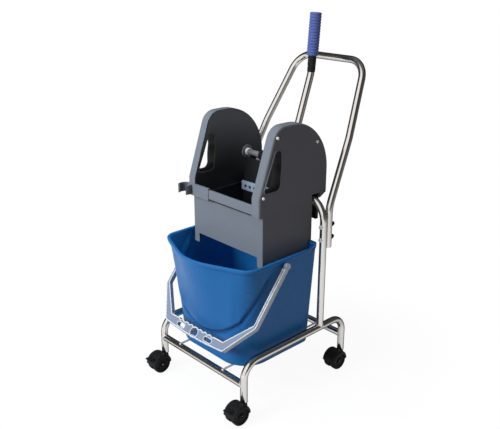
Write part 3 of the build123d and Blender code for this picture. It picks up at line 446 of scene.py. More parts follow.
def plastic(
    name, colour, roughness, bump=0.02, scuffs=0.15, gloss=0.3,
    inner=None, groove=None, painted_side_tone=None, foot=None,
):
    """Moulded plastic: drifting colour, grain in height and roughness, and a few pale scuffs. A second
    colour goes where the mesh marks its inside, as painted light that stands in for light through the
    wall, or a groove, as painted shade in the crease, on the faces that look to the left and right, as
    a painted side tone, lighter or darker for how those sides are lit, or down to the foot, as painted shade."""
    made, tree, shader, coordinates = new_material(name)
    place = ("Vector", coordinates["Object"])
    skin = group_node(tree, "grain", place, ("Roughness", roughness))
    marks = group_node(tree, "scuffs", place, ("Amount", scuffs))["Mask"]
    pale = (*(0.45 * c + 0.3 for c in colour), 1)
    tone = group_node(tree, "drift", place, ("Colour", (*colour, 1)))["Colour"]
    tone = mixed(tree, marks, tone, pale)
    # Painted light where the mesh marks the inside, and painted shade along the groove
    for mark, second in (("inside", inner), ("groove", groove)):
        if second:
            share = add_node(tree, "ShaderNodeAttribute", attribute_name=mark).outputs["Fac"]
            tone = mixed(tree, share, tone, (*second, 1))
    # Painted shade: the colour darkens towards the bottom
    if foot:
        second, end, start = foot
        share = mapped(tree, axis_value(tree, coordinates["Object"], "Z"), start, end)
        tone = mixed(tree, share, tone, (*second, 1))
    # Painted side tone: faces that look to the left and right are painted lighter or darker, for how those
    # sides are lit
    if painted_side_tone:
        way = vector_node(tree, "ABSOLUTE", coordinates["Normal"])[0]
        share = mapped(tree, axis_value(tree, way, "X"), 0.40, 0.85)
        tone = mixed(tree, share, tone, (*painted_side_tone, 1))
    links = (("Strength", 1.0), ("Distance", bump / 1000), ("Height", skin["Height"]))
    lump = add_node(tree, "ShaderNodeBump", links)
    tree.links.new(tone, shader.inputs["Base Color"])
    tree.links.new(skin["Roughness"], shader.inputs["Roughness"])
    tree.links.new(lump.outputs["Normal"], shader.inputs["Normal"])
    shader.inputs["Specular IOR Level"].default_value = gloss
    return made


def metal(name, colour, roughness, scuffs=0.3, edge=0.0, plated=1.0):
    """Plated steel: bright metal whose roughness rises in thin streaks and soft clouds, and whose
    edges, seen aslant, are painted darker: a painted reflection of the dark studio behind the camera."""
    made, tree, shader, coordinates = new_material(name)
    place = ("Vector", coordinates["Object"])
    tone = group_node(tree, "drift", place, ("Colour", (*colour, 1)), ("Scale", 16.0), ("Amount", 0.06))
    marks = group_node(tree, "scuffs", place, ("Amount", scuffs))["Mask"]
    cloud = mapped(tree, tone["Value"], 0.3, 0.8, roughness, roughness * 1.8)
    # Painted reflection: seen aslant, the colour darkens towards the studio's dark tone
    aslant = add_node(tree, "ShaderNodeLayerWeight", (("Blend", 0.5),)).outputs["Facing"]
    rim = mapped(tree, aslant, 0.28, 0.70, 0.0, edge, "SMOOTHSTEP")
    painted_reflection_tone = mixed(tree, rim, tone["Colour"], (0.045, 0.040, 0.042, 1))
    tree.links.new(painted_reflection_tone, shader.inputs["Base Color"])
    tree.links.new(math_node(tree, "ADD", cloud, marks), shader.inputs["Roughness"])
    shader.inputs["Metallic"].default_value = plated
    if edge:
        shader.inputs["Specular Tint"].default_value = (0.35, 0.33, 0.33, 1)
    return made


# Settings

Length = partial(FloatProperty, unit="LENGTH")
Angle = partial(FloatProperty, subtype="ANGLE")
Colour = partial(FloatVectorProperty, subtype="COLOR", size=3)


class TrolleyTubes(bpy.types.PropertyGroup):
    """Sizes of the bent tubes that the CAD boxes don't give."""

    wall: Length(name="Tube wall", description="Wall of the frame tube", default=0.0015)
    rail_bend: Length(name="Rail bend", description="Bend of the side rails to the legs", default=0.045)
    post_bend: Length(name="Post bend", description="Bend of the post frame at its bar", default=0.060)
    knee_z: Length(name="Knee height", description="First bend of the handle", default=0.518)
    middle_z: Length(name="Middle height", description="Second bend", default=0.687)
    middle_back: Length(name="Middle set back", description="Second bend behind the posts", default=0.085)
    middle_half: Length(name="Middle half width", description="At the second bend", default=0.1565)
    top_half: Length(name="Top half width", description="Half width at the top bar", default=0.120)
    knee_bend: Length(name="Knee bend", description="Radius of the knee", default=0.080)
    middle_bend: Length(name="Middle bend", description="Radius of the second bend", default=0.140)
    top_bend: Length(name="Top bend", description="Radius at the top bar", default=0.060)
    bead: Length(name="Weld bead", description="Radius of the weld beads", default=0.0013)


class TrolleyBucket(bpy.types.PropertyGroup):
    """Sizes of the moulded bucket."""

    base_half: Length(name="Base half width", description="Half width at the base", default=0.148)
    rim_half: Length(name="Rim half width", description="Half width at the rim", default=0.168)
    base_front: Length(name="Base set back", description="Base behind the front legs", default=0.020)
    rim_front: Length(name="Rim set back", description="Rim behind the front legs", default=0.014)
    base_depth: Length(name="Base depth", description="Depth at the base", default=0.250)
    rim_depth: Length(name="Rim depth", description="Depth at the rim", default=0.261)
    groove: Length(name="Groove", description="Depth of the groove along the crease", default=0.0042)
    base_round: Length(name="Base corners", description="Radius in plan at the base", default=0.080)
    front_round: Length(name="Front corners", description="Radius in plan", default=0.053)
    rear_round: Length(name="Rear corners", description="Radius in plan", default=0.016)
    belly_bottom: Length(name="Belly bottom", description="Height where the belly starts", default=0.077)
    belly_reach: Length(name="Belly reach", description="Wedge's point ahead of the tub", default=0.0618)
    belly_half: Length(name="Belly half width", description="Half width at the rim", default=0.1695)
    belly_slope: FloatProperty(name="Belly slope", description="Flanks' slope in plan", default=0.42)
    belly_nose: Length(name="Belly nose", description="Radius of the nose", default=0.158)
    belly_step: Length(name="Belly step", description="Rounded step under the belly", default=0.012)
    crease_curve: FloatProperty(name="Crease curve", description="Rise with x squared", default=3.6)
    crease_lean: FloatProperty(name="Crease lean", description="Rise along the sides", default=1.35)
    wall: Length(name="Wall", description="Wall of the bucket", default=0.003)
    lip_out: Length(name="Lip reach", description="Lip outside the wall", default=0.006)
    lip_height: Length(name="Lip height", description="Height of the lip", default=0.011)
    rear_flange: Length(name="Rear flange", description="Lip's run back between the posts", default=0.012)
    sides: IntProperty(name="Points round", description="Points round the bucket", default=360, min=60)


class TrolleyWringer(bpy.types.PropertyGroup):
    """Sizes of the wringer's cheeks and lip where the photograph asks for other ones than the CAD,
    and the place of its bushes."""

    front: Length(name="Cheek front", description="Front edge ahead of the CAD's", default=0.008)
    lean: FloatProperty(name="Cheek lean", description="Lean added to the front edge", default=0.05)
    back: Length(name="Cheek back", description="Back edge ahead of the CAD's", default=0.0055)
    skirt: Length(name="Skirt", description="How much higher the lip ends below", default=0.0020)
    hole: Length(name="Hand hole", description="How much shorter it is along y", default=0.0065)
    bush_face: Length(name="Bush face", description="Bush flanges from the middle", default=0.108)

    def shift(self, points):
        """Moves points of a cheek: the front edge goes ahead and leans more, the back edge goes ahead,
        and what lies between follows in proportion to its distance from both. The back of the hand
        hole goes ahead by a bell curve round it."""
        slope, foot = 0.29, 0.049
        hole_y, hole_z = 0.0745, 0.092
        hole_depth, hole_height = 0.018, 0.050
        node = "wringer_cheek_right"
        front, base = low(node)[1:]
        back = high(node)[1]
        y, z = points[:, 1], points[:, 2]
        climb = np.maximum(z - base - foot, 0)
        edge = front + slope * climb
        share = np.clip((y - edge) / (back - edge), 0, 1)
        ahead = -self.front + self.lean * climb
        aside, above = (y - front - hole_y) / hole_depth, (z - base - hole_z) / hole_height
        moved = points.copy()
        moved[:, 1] += ahead + (-self.back - ahead) * share - self.hole * np.exp(-(aside**2) - above**2)
        return moved


class TrolleyBail(bpy.types.PropertyGroup):
    """Sizes of the bail and its rims."""

    droop: Angle(name="Droop", description="Slope of the hanging bail", default=math.radians(51.5))
    rim: Length(name="Rim", description="Radius of the raised rims", default=0.0017)
    half_thick: Length(name="Half thickness", description="Half of the bail's section", default=0.006)
    arm_width: Length(name="Arm width", description="Width of the arms", default=0.010)
    grip_half: Length(name="Grip half width", description="Half width of the grip", default=0.118)


class TrolleyFinishes(bpy.types.PropertyGroup):
    """Colours of the finishes."""

    chrome: Colour(name="Chrome", description="Plated tubes", default=(0.82, 0.79, 0.75))
    bucket: Colour(name="Bucket blue", description="Moulded bucket", default=(0.014, 0.116, 0.325))
    wringer: Colour(name="Wringer grey", description="Moulded wringer", default=(0.146, 0.163, 0.190))
    bail: Colour(name="Bail grey", description="Bail of the bucket", default=(0.19, 0.225, 0.30))
    grip: Colour(name="Grip blue", description="Lever grip", default=(0.075, 0.105, 0.300))
    black: Colour(name="Black", description="Black plastic", default=(0.012, 0.012, 0.013))


class TrolleyStage(bpy.types.PropertyGroup):
    """Place, turn and lens of the camera."""

    azimuth: Angle(name="Azimuth", description="Camera turn from the front", default=math.radians(46.73))
    pitch: Angle(name="Pitch", description="Camera tilt below the horizon", default=math.radians(20.41))
    roll: Angle(name="Roll", description="Camera roll", default=math.radians(-0.06))
    place: FloatVectorProperty(
        name="Camera", description="Camera's place", default=(1.3222, -1.2859, 1.1585), subtype="TRANSLATION"
    )
    lens: FloatProperty(name="Lens", description="Focal length on a 36 mm sensor", default=51.04)


# Operators


class TROLLEY_OT_finishes(bpy.types.Operator):
    """Makes the shared groups and finishes and gives them to the CAD nodes"""

    bl_idname = "trolley.finishes"
    bl_label = "Finishes"

    def execute(self, context):
        GROUPS.update(drift=make_drift_group(), grain=make_grain_group(), scuffs=make_scuff_group())
        colours = context.scene.trolley_finishes
        black = partial(plastic, bump=0.03, scuffs=0.04)
        FINISHES.update(
            chrome_tube=metal("chrome plate", colours.chrome, 0.10, scuffs=0.12, edge=0.8),
            bright_steel=metal("bright zinc", (0.78, 0.78, 0.79), 0.30, plated=0.4),
            caster_steel=metal("turned steel", (0.5, 0.5, 0.52), 0.25),
            bucket_blue=plastic(
                "bucket blue", colours.bucket, 0.36, bump=0.015, gloss=0.18,
                # Painted light inside the bucket for light through the wall, and painted shade along the
                # crease's groove
                inner=(0.018, 0.200, 0.560), groove=(0.003, 0.050, 0.180),
            ),
            # Painted shade: the faces that look to the left and right take a darker grey
            wringer_grey=plastic(
                "wringer grey", colours.wringer, 0.5, bump=0.05, gloss=0.2, painted_side_tone=(0.100, 0.098, 0.110)
            ),
            light_grey=plastic("press grey", (0.46, 0.50, 0.57), 0.45),
            # Painted light: the faces that look to the left and right take a paler grey
            bail_grey=plastic("bail grey", colours.bail, 0.42, painted_side_tone=(0.46, 0.48, 0.54)),
            press_bar=plastic("bar grey", (0.235, 0.285, 0.380), 0.45),
            jaw_axle=plastic("axle grey", (0.17, 0.175, 0.18), 0.30),
            bush=plastic("bush grey", (0.20, 0.20, 0.21), 0.35),
            # Painted highlight: the collars' white stands in for the highlight on the axle's ends
            collar=plastic("collar white painted highlight", (0.82, 0.82, 0.82), 0.30),
            clip=plastic("clip grey", (0.105, 0.115, 0.130), 0.45, gloss=0.2),
            # Painted highlight: the raised rims take a much paler grey than the bail
            bail_rim=plastic("bail rim painted highlight", (0.60, 0.62, 0.67), 0.40),
            grip_blue=plastic("grip blue", colours.grip, 0.5, bump=0.05),
            black_plastic=black("black plastic", colours.black, 0.45, gloss=0.15),
            caster_black=black("caster black", colours.black, 0.42, gloss=0.12),
            wheel_black=black("tread black", (0.010, 0.009, 0.010), 0.6, bump=0.04, scuffs=0.05, gloss=0.12),
            liner=plastic(
                "liner grey", (0.120, 0.124, 0.138), 0.55, bump=0.05, scuffs=0.05, gloss=0.2,
                # Painted shade: the liner darkens towards its bottom
                foot=((0.026, 0.027, 0.029), 0.590, 0.720),
            ),
        )
        slots = {row["node"]: row["material_slot"] for row in frame["record"]["subparts"]}
        for node, made in frame["nodes"].items():
            finish = node_finish(node, slots[node])
            if not made.material_slots:
                made.data.materials.append(finish)
            for place in made.material_slots:
                place.material = finish
        return {"FINISHED"}


class TROLLEY_OT_tubes(bpy.types.Operator):
    """Carries a ring along each tube's path: rails, posts, handle and cross tubes"""

    bl_idname = "trolley.tubes"
    bl_label = "Chrome tubes"

    def execute(self, context):
        sizes = context.scene.trolley_tubes
        for side, x in (("left", -SIDE_X), ("right", SIDE_X)):
            path = rounded_path(
                ((x, FRONT_Y, LEG_Z), (x, FRONT_Y, RAIL_Z), (x, REAR_Y, RAIL_Z), (x, REAR_Y, LEG_Z)),
                (sizes.rail_bend, sizes.rail_bend),
            )
            self.make_tube(f"rail_{side}", path, X, sizes.wall, f"side_rail_{side}")
        half = ((-SIDE_X, POST_Y, RAIL_Z), (-SIDE_X, POST_Y, POST_BAR_Z))
        path = rounded_path(mirrored(half), (sizes.post_bend, sizes.post_bend))
        self.make_tube("posts", path, Y, sizes.wall, "post_frame")
        half = (
            (SIDE_X, HANDLE_Y, HANDLE_END_Z),
            (SIDE_X, HANDLE_Y, sizes.knee_z),
            (sizes.middle_half, HANDLE_Y + sizes.middle_back, sizes.middle_z),
            (sizes.top_half, HANDLE_TOP_Y, HANDLE_TOP_Z),
        )
        radii = (sizes.knee_bend, sizes.middle_bend, sizes.top_bend)
        path = rounded_path(mirrored(half), (*radii, *reversed(radii)))
        self.make_tube("handle", path, (0, 0.88, -0.47), sizes.wall, "push_handle")
        reach = SIDE_X - TUBE_R * 0.4
        for place, y in (("front", FRONT_Y), ("rear", REAR_Y)):
            path = np.linspace((-reach, y, CROSS_Z), (reach, y, CROSS_Z), 24)
            self.make_tube(f"cross_{place}", path, Z, sizes.wall, f"{place}_cross_tube")
        return {"FINISHED"}

    def make_tube(self, name, path, across, wall, node):
        """A chrome tube with its bore in place of a CAD tube."""
        put_piece(name, [open_tube(path, TUBE_R, TUBE_R - wall, across)], "frame", "chrome_tube", node)


class TROLLEY_OT_bucket(bpy.types.Operator):
    """Rows of polar outlines up the outside, over the lip and down the inside of the bucket"""

    bl_idname = "trolley.bucket"
    bl_label = "Bucket"

    def execute(self, context):
        sizes = context.scene.trolley_bucket
        base = low("bucket")[2]
        height = high("bucket")[2] - base
        middle = FRONT_Y + sizes.base_front + sizes.base_depth / 2
        out, level = self.profile(sizes, height)
        theta = np.linspace(-math.pi, math.pi, sizes.sides, endpoint=False)
        radii = np.stack([self.outline(sizes, z, height, middle, theta) for z in level]) + out[:, None]
        z = np.broadcast_to(base + level[:, None], radii.shape)
        grid = np.stack([radii * np.cos(theta), middle + radii * np.sin(theta), z], axis=-1)
        rear = FRONT_Y + sizes.rim_front + sizes.rim_depth
        flange_run, flange_taper = 0.04, 0.09
        flange = np.clip((grid[..., 1] - rear + flange_run) / flange_run, 0, 1)
        flange = flange * np.clip(out[:, None] / sizes.lip_out, 0, 1)
        grid[..., 1] += sizes.rear_flange * flange
        grid[..., 0] *= 1 - flange_taper * flange
        shell = capped(grid, ((0, middle, base + sizes.wall), (0, middle, base + sizes.wall)))
        parts = [shell, *self.bosses(sizes)]
        made = put_piece("bucket_shell", parts, "frame", "bucket_blue", "bucket")
        self.mark_walls(made.data, sizes, middle, base, height)
        return {"FINISHED"}

    def profile(self, sizes, height):
        """Distances out from the wall and heights of the rows: foot, outside, lip, inside and floor."""
        edge, hollow, small = 0.007, 0.012, 0.0040
        lip_z = height - sizes.lip_height
        rise = np.concatenate([np.linspace(0.012, 0.07, 8), np.linspace(0.0725, lip_z, 118)])
        fall = rise[::-3]
        fall = fall[fall > sizes.wall + hollow]
        turn = np.linspace(0, math.pi / 2, 6)
        cos, sin = np.cos(turn), np.sin(turn)
        rows = (
            ((-0.016, -0.014, -edge), (0.003, 0.0, 0.0)),
            (edge * sin[1:] - edge, edge - edge * cos[1:]),
            (0 * rise, rise),
            ((sizes.lip_out - 0.0015, sizes.lip_out), (lip_z, lip_z + 0.0015)),
            (sizes.lip_out - small + small * cos, height - small + small * sin),
            (-sizes.wall + small - small * sin, height - small + small * cos),
            (0 * fall - sizes.wall, fall),
            (-sizes.wall - hollow + hollow * cos, sizes.wall + hollow - hollow * sin),
        )
        return np.concatenate([np.array(part) for part in rows], axis=1)

    def bosses(self, sizes):
        """Turned discs on both sides that take the bail's pins."""
        origin = centre("bail_pins") * (0, 1, 1)
        face = high("bucket")[0]
        root = sizes.rim_half - 0.004
        profile = rounded_profile(
            ((root, 0.0), (root, 0.0085), (face - 0.001, 0.0080), (face, 0.0072), (face, 0.0)),
            (0.0005, 0.001, 0.0005),
        )
        return [turned(profile, origin, side * X, Z) for side in (-1, 1)]

    def mark_walls(self, mesh, sizes, middle, base, height):
        """Two attributes: one is 1 where the surface looks towards the bucket's middle line, where a
        brighter colour is painted in as light through the wall; the other rises to 1 along the crease
        on the outside, where a darker colour is painted in as shade."""
        place = read_points(mesh, "co")
        way = read_points(mesh, "normal")
        outward = np.sum((place - (0, middle, 0))[:, :2] * way[:, :2], axis=1)
        inward, strength, width = -0.02, 0.85, 0.0055
        inside = np.where(outward < inward, 1.0, 0.0)
        x, y, z = place.T
        groove = self.groove(*self.crease(sizes, x, y), z - base, height, width)
        # Masks for the painted light inside and the painted shade along the crease
        for name, values in (("inside", inside), ("groove", strength * groove * (1 - inside))):
            mesh.attributes.new(name, "FLOAT", "POINT").data.foreach_set("value", values)

    def crease(self, sizes, x, y):
        """Height of the crease above the base, which climbs to both sides, and its slope."""
        start = 0.008
        behind = y - FRONT_Y - sizes.base_front - start
        curve, lean = sizes.crease_curve, sizes.crease_lean
        height = sizes.belly_bottom + curve * x**2 + lean * np.maximum(behind, 0)
        return height, np.where(behind > 0, lean, 0) + 2 * curve * np.abs(x)

    def groove(self, crease, slope, z, height, width):
        """A bell curve square to the crease, which fades out under the lip."""
        lip, fade = 0.030, 0.02
        across = (z - crease) / np.sqrt(1 + slope**2)
        return np.exp(-((across / width) ** 2)) * np.clip((height - lip - z) / fade, 0, 1)

    def outline(self, sizes, z, height, middle, theta):
        """Distance from the middle to the wall for each direction: the tapered tub, and above a
        crease that climbs to both sides the belly, which starts with a groove and a rounded step
        and then grows evenly to the blunt wedge of the rim."""
        step_rise, step_half, least_step = 0.014, 0.07, 0.0020
        step_share, side_share, groove_width = 0.80, 0.20, 0.0050
        crease_corner, rim_corner = 0.085, 0.040
        tub = self.tub(sizes, z / height, middle, theta)
        x = tub * np.cos(theta)
        crease, slope = self.crease(sizes, x, middle + tub * np.sin(theta))
        share = np.clip((z - crease) / np.maximum(height - crease, 0.001), 0, 1)
        brim = self.tub(sizes, 1.0, middle, theta)
        soft = np.maximum(self.wedge(sizes, crease_corner, middle, theta) - brim, 0)
        gain = np.maximum(self.wedge(sizes, rim_corner, middle, theta) - brim, 0)
        gain = soft + (gain - soft) * share
        lift = np.clip((z - crease) / step_rise, 0, 1)
        fade = side_share + (1 - side_share) * np.exp(-((x / step_half) ** 2))
        step = np.maximum(np.minimum(sizes.belly_step, step_share * gain) * fade, least_step)
        groove = sizes.groove * self.groove(crease, slope, z, height, groove_width)
        return tub + step * lift**2 * (3 - 2 * lift) + (gain - step) * share - groove

    def wedge(self, sizes, corner, middle, theta):
        """Distance from the middle to the belly's blunt wedge at the rim, with rounded corners."""
        brim = FRONT_Y + sizes.rim_front
        nose = (0.0, brim - sizes.belly_reach)
        half = (
            (sizes.belly_half, nose[1] + sizes.belly_slope * sizes.belly_half),
            (sizes.rim_half - 0.001, brim + 0.113),
            (sizes.rim_half * 0.5, middle + 0.06),
        )
        radii = (corner, 0.010, 0.010)
        loop = rounded_loop((nose, *mirrored(half)), (sizes.belly_nose, *radii, *reversed(radii)))
        return self.polar(loop, middle, theta)

    def tub(self, sizes, level, middle, theta):
        """Distance from the middle to the tapered tub's rounded rectangle at a share of its height."""
        half = sizes.base_half + (sizes.rim_half - sizes.base_half) * level
        front = FRONT_Y + sizes.base_front + (sizes.rim_front - sizes.base_front) * level
        depth = sizes.base_depth + (sizes.rim_depth - sizes.base_depth) * level
        corner = sizes.base_round + (sizes.front_round - sizes.base_round) * level
        loop = rounded_loop(
            ((-half, front), (half, front), (half, front + depth), (-half, front + depth)),
            (corner, corner, sizes.rear_round, sizes.rear_round),
        )
        return self.polar(loop, middle, theta)

    def polar(self, loop, middle, theta):
        """Distance to a closed outline round the middle, read at each direction."""
        points = 1600
        x, y = even_loop(loop, points).T
        angle = np.arctan2(y - middle, x)
        order = np.argsort(angle)
        return np.interp(theta, angle[order], np.hypot(x, y - middle)[order], period=ROUND)


class TROLLEY_OT_casters(bpy.types.Operator):
    """Turns the wheel profile and carries the mudguard's section round each pair of wheels"""

    bl_idname = "trolley.casters"
    bl_label = "Casters"

    def execute(self, context):
        for corner in CORNERS:
            axle = centre(f"caster_axle_{corner}")
            for place, side in (("left", -1), ("right", 1)):
                self.make_wheel(f"{corner}_{place}", side, axle)
            self.make_hood(corner, axle)
        return {"FINISHED"}

    def make_wheel(self, name, side, axle):
        """Closed profile from the bore over the tread to the dished face, turned round the axle."""
        node = f"caster_wheel_{name}"
        lo, hi = low(node), high(node)
        radius = (hi[2] - lo[2]) / 2
        near = min(abs(lo[0] - axle[0]), abs(hi[0] - axle[0]))
        face = near + hi[0] - lo[0]
        hub = face + 0.0002
        bore = 0.0031
        profile = rounded_profile(
            (
                (near, bore), (near, radius), (face, radius), (face, radius * 0.76),
                (face - 0.0022, radius * 0.72), (face - 0.0032, radius * 0.34),
                (face - 0.0004, radius * 0.30), (hub, radius * 0.20), (hub, bore),
            ),
            (0.0035, 0.0050, 0.0008, 0.0008, 0.0010, 0.0008, 0.0006),
        )
        tyre = turned(profile, axle, side * X, Z, 56, closed=True)
        put_piece(f"wheel_{name}_tyre", [tyre], f"wheel_{name}", "wheel_black", node)

    def make_hood(self, corner, axle):
        """Mudguard section, rounded over both wheels, carried on an arc about the axle, with the
        web between the wheels and the neck that takes the stem."""
        node = f"caster_hood_{corner}"
        stem = centre(f"caster_stem_{corner}") * (1, 1, 0)
        wheel = high(f"caster_wheel_{corner}_left")[2] - axle[2]
        inner = (high(node)[0] - low(node)[0]) / 2 + 0.0004
        outer = inner + 0.0014
        skirt, inside, outside = wheel - 0.0045, wheel + 0.0012, wheel + 0.0037
        section = rounded_loop(
            (
                (-outer, skirt), (-outer, outside), (outer, outside), (outer, skirt),
                (inner, skirt), (inner, inside), (-inner, inside), (-inner, skirt),
            ),
            (0.0006, 0.0050, 0.0050, 0.0006, 0.0006, 0.0030, 0.0030, 0.0006),
        )
        sweep = np.linspace(math.radians(4), math.radians(176), 44)
        guard = capped(swung(section, axle, X, Y, sweep).swapaxes(0, 1))
        half, top = 0.0025, outside - 0.0006
        web = rounded_profile(((-half, 0.0), (-half, top), (half, top), (half, 0.0)), (0.0005, 0.0005))
        disc, quads = turned(web, axle, X, Z, 60)
        cut, squash = axle[2] - 0.006, 0.02
        disc[:, 2] = np.where(disc[:, 2] < cut, cut + (disc[:, 2] - cut) * squash, disc[:, 2])
        foot, top = axle[2] + 0.012, low("caster_sockets")[2] - 0.0026
        neck = rounded_profile(
            ((foot, 0.0), (foot, 0.0100), (top - 0.006, 0.0092), (top, 0.0080), (top, 0.0)),
            (0.0010, 0.0040, 0.0012),
        )
        parts = [guard, (disc, quads), turned(neck, stem, Z, X, 32)]
        put_piece(f"hood_{corner}", parts, f"swivel_{corner}", "caster_black", node)


class TROLLEY_OT_lever(bpy.types.Operator):
    """Turns the ribbed grip and its collar about the lever's upper line"""

    bl_idname = "trolley.lever"
    bl_label = "Lever grip"

    # Lean of the lever's upper line, how much lower than the CAD's the grip sits, and its bore
    lean = math.radians(4.7)
    drop = 0.004
    bore = 0.0101

    def execute(self, context):
        radius, length, line = self.upper_line("lever_grip")
        ribs, rib_depth, swell, end_run, end_share = 15, 0.0020, 0.0008, 0.004, 0.16
        along = np.linspace(0, length, 260)
        wave = np.abs(np.sin(math.pi * along * ribs / length)) ** 0.5
        reach = radius + swell - rib_depth * (1 - wave)
        reach *= 1 - end_share * np.clip((along - length + end_run) / end_run, 0, 1) ** 2
        reach *= 1 - end_share + end_share * np.sqrt(np.clip(along / end_run, 0, 1))
        skin = np.column_stack([along, reach])
        skin = np.concatenate([[[0.0, self.bore + 0.0001]], skin, [[length, 0.0]]])
        stop = length - 0.014
        plug = np.array([[stop, 0.0], [stop, self.bore], [0.0, self.bore]])
        grip = [turned(skin, *line), turned(plug, *line)]
        put_piece("ribbed_grip", grip, "lever", "grip_blue", "lever_grip")
        radius, length, line = self.upper_line("lever_collar")
        sleeve = rounded_profile(
            (
                (0.0, self.bore), (0.0, radius - 0.0006),
                (length * 0.30, radius - 0.0002), (length * 0.34, radius - 0.0012),
                (length * 0.40, radius), (length, radius), (length, self.bore),
            ),
            (0.0015, 0.0008, 0.0008, 0.0008, 0.0008),
        )
        put_piece("collar_sleeve", [turned(sleeve, *line, 40)], "lever", "black_plastic", "lever_collar")
        return {"FINISHED"}

    def upper_line(self, node):
        """Radius and length of a round CAD piece on the leaning line, and its foot, axis and side."""
        lo, hi = low(node), high(node)
        up = np.array((0.0, math.sin(self.lean), math.cos(self.lean)))
        radius = (hi[0] - lo[0]) / 2
        length = (hi[2] - lo[2] - 2 * radius * math.sin(self.lean)) / math.cos(self.lean)
        return radius, length, ((lo + hi) / 2 - up * (length / 2 + self.drop), up, X)


class TROLLEY_OT_mouldings(bpy.types.Operator):
    """Rounds the edges of the moulded pieces that the CAD draws with sharp ones"""

    bl_idname = "trolley.mouldings"
    bl_label = "Mouldings"

    def execute(self, context):
        shift = context.scene.trolley_wringer.shift
        for side in ("left", "right"):
            ease(f"wringer_cheek_{side}", "wringer", "wringer_grey", 0.0010, shift)
            ease(f"cheek_liner_{side}", "wringer", "wringer_grey", 0.0006, shift)
        ease("wringer_box", "wringer", "wringer_grey", 0.0012)
        ease("hanger_hooks", "wringer", "black_plastic", 0.0010)
        ease("bail", "bail", "bail_grey", 0.0022)
        ease("press_bar", "jaw", "light_grey", 0.0008)
        ease("lever_hub", "lever", "black_plastic", 0.0010)
        ease("handle_hand_nuts", "frame", "black_plastic", 0.0008)
        for side in ("left", "right"):
            ease(f"brake_pedal_front_{side}", f"pedal_front_{side}", "caster_black", 0.0008)
        return {"FINISHED"}


class TROLLEY_OT_bail(bpy.types.Operator):
    """Lays raised rims along the bail's outlines, its scalloped grip edge and its openings:
    small tubes along paths in the bail's plane, on both faces"""

    bl_idname = "trolley.bail"
    bl_label = "Bail rims"

    def execute(self, context):
        sizes = context.scene.trolley_bail
        above = np.array((0.0, -math.sin(sizes.droop), math.cos(sizes.droop)))
        opening_share, edge, edge_in, edge_narrow = 0.7, 0.0030, 0.0012, 0.994
        outer = self.outer_edge(sizes)
        tubes = []
        for path, closed in ((outer, False), (self.inner_edge(sizes), False), *self.openings()):
            for face in (-1, 1):
                place = self.placed(sizes, path) + above * face * sizes.half_thick
                if closed:
                    rim = tube_grid(place, sizes.rim * opening_share, above, 10, True)
                    tubes.append(surface(rim, True))
                else:
                    tubes.append(capped(tube_grid(place, sizes.rim, above, 10)))
        place = self.placed(sizes, outer - (0, edge_in)) * (edge_narrow, 1, 1)
        tubes.append(capped(tube_grid(place, edge, above, 12)))
        # The rims and the scalloped edge take the pale rim finish, a painted highlight
        put_piece("bail_rims", tubes, "bail", "bail_grey", finish="bail_rim")
        return {"FINISHED"}

    def placed(self, sizes, path):
        """Points of the bail's plane, given across it and down from its pins, in the frame."""
        along = np.array((0.0, -math.cos(sizes.droop), -math.sin(sizes.droop)))
        return centre("bail_pins") * (0, 1, 1) + path[:, :1] * X + path[:, 1:] * along

    def outer_edge(self, sizes):
        """Down one arm, along the bowed grip and up the other arm, with rounded corners."""
        top, bend, corner, bow, radius = 0.010, 0.178, 0.2705, 0.2775, 0.009
        arm = high("bail")[0] - sizes.rim
        half = ((-arm, top), (-arm, bend), (-sizes.grip_half, corner - sizes.rim))
        corners = mirrored(half, (0.0, bow - sizes.rim))
        return rounded_path(corners, (radius, radius, 1.0, radius, radius))

    def inner_edge(self, sizes):
        """Down one arm, along the grip's edge with a row of round notches, and up the other arm."""
        grip_edge, notches, pitch, radius, sunk = 0.2465, 8, 0.019, 0.006, 0.003
        arm = high("bail")[0] - sizes.arm_width + sizes.rim
        half = sizes.grip_half - 0.010
        across = np.linspace(-half, half, 241)
        notch = across[:, None] - (np.arange(notches) - (notches - 1) / 2) * pitch
        dip = np.sqrt(np.clip(radius**2 - notch**2, 0, None)).max(axis=1) - sunk
        grip = np.column_stack([across, grip_edge + sizes.rim + np.clip(dip, 0, None)])
        arms = np.array([(-arm, 0.010), (-arm, 0.110), (-arm, 0.173)])
        return np.concatenate([arms, grip, (arms * (-1, 1))[::-1]])

    def openings(self):
        """The ring in the grip's middle and a long slot on each side of it."""
        middle, ring_radius, slot_radius, slot_half, slot_x = 0.262, 0.0142, 0.0062, 0.010, 0.056
        turn = np.linspace(0, ROUND, 48, endpoint=False)
        circle = np.column_stack([np.cos(turn), np.sin(turn)])
        slot = circle * slot_radius + (0, middle)
        slot[:, 0] += np.sign(np.cos(turn)) * slot_half
        loops = (circle * ring_radius + (0, middle), slot - (slot_x, 0), slot + (slot_x, 0))
        return [(loop, True) for loop in loops]


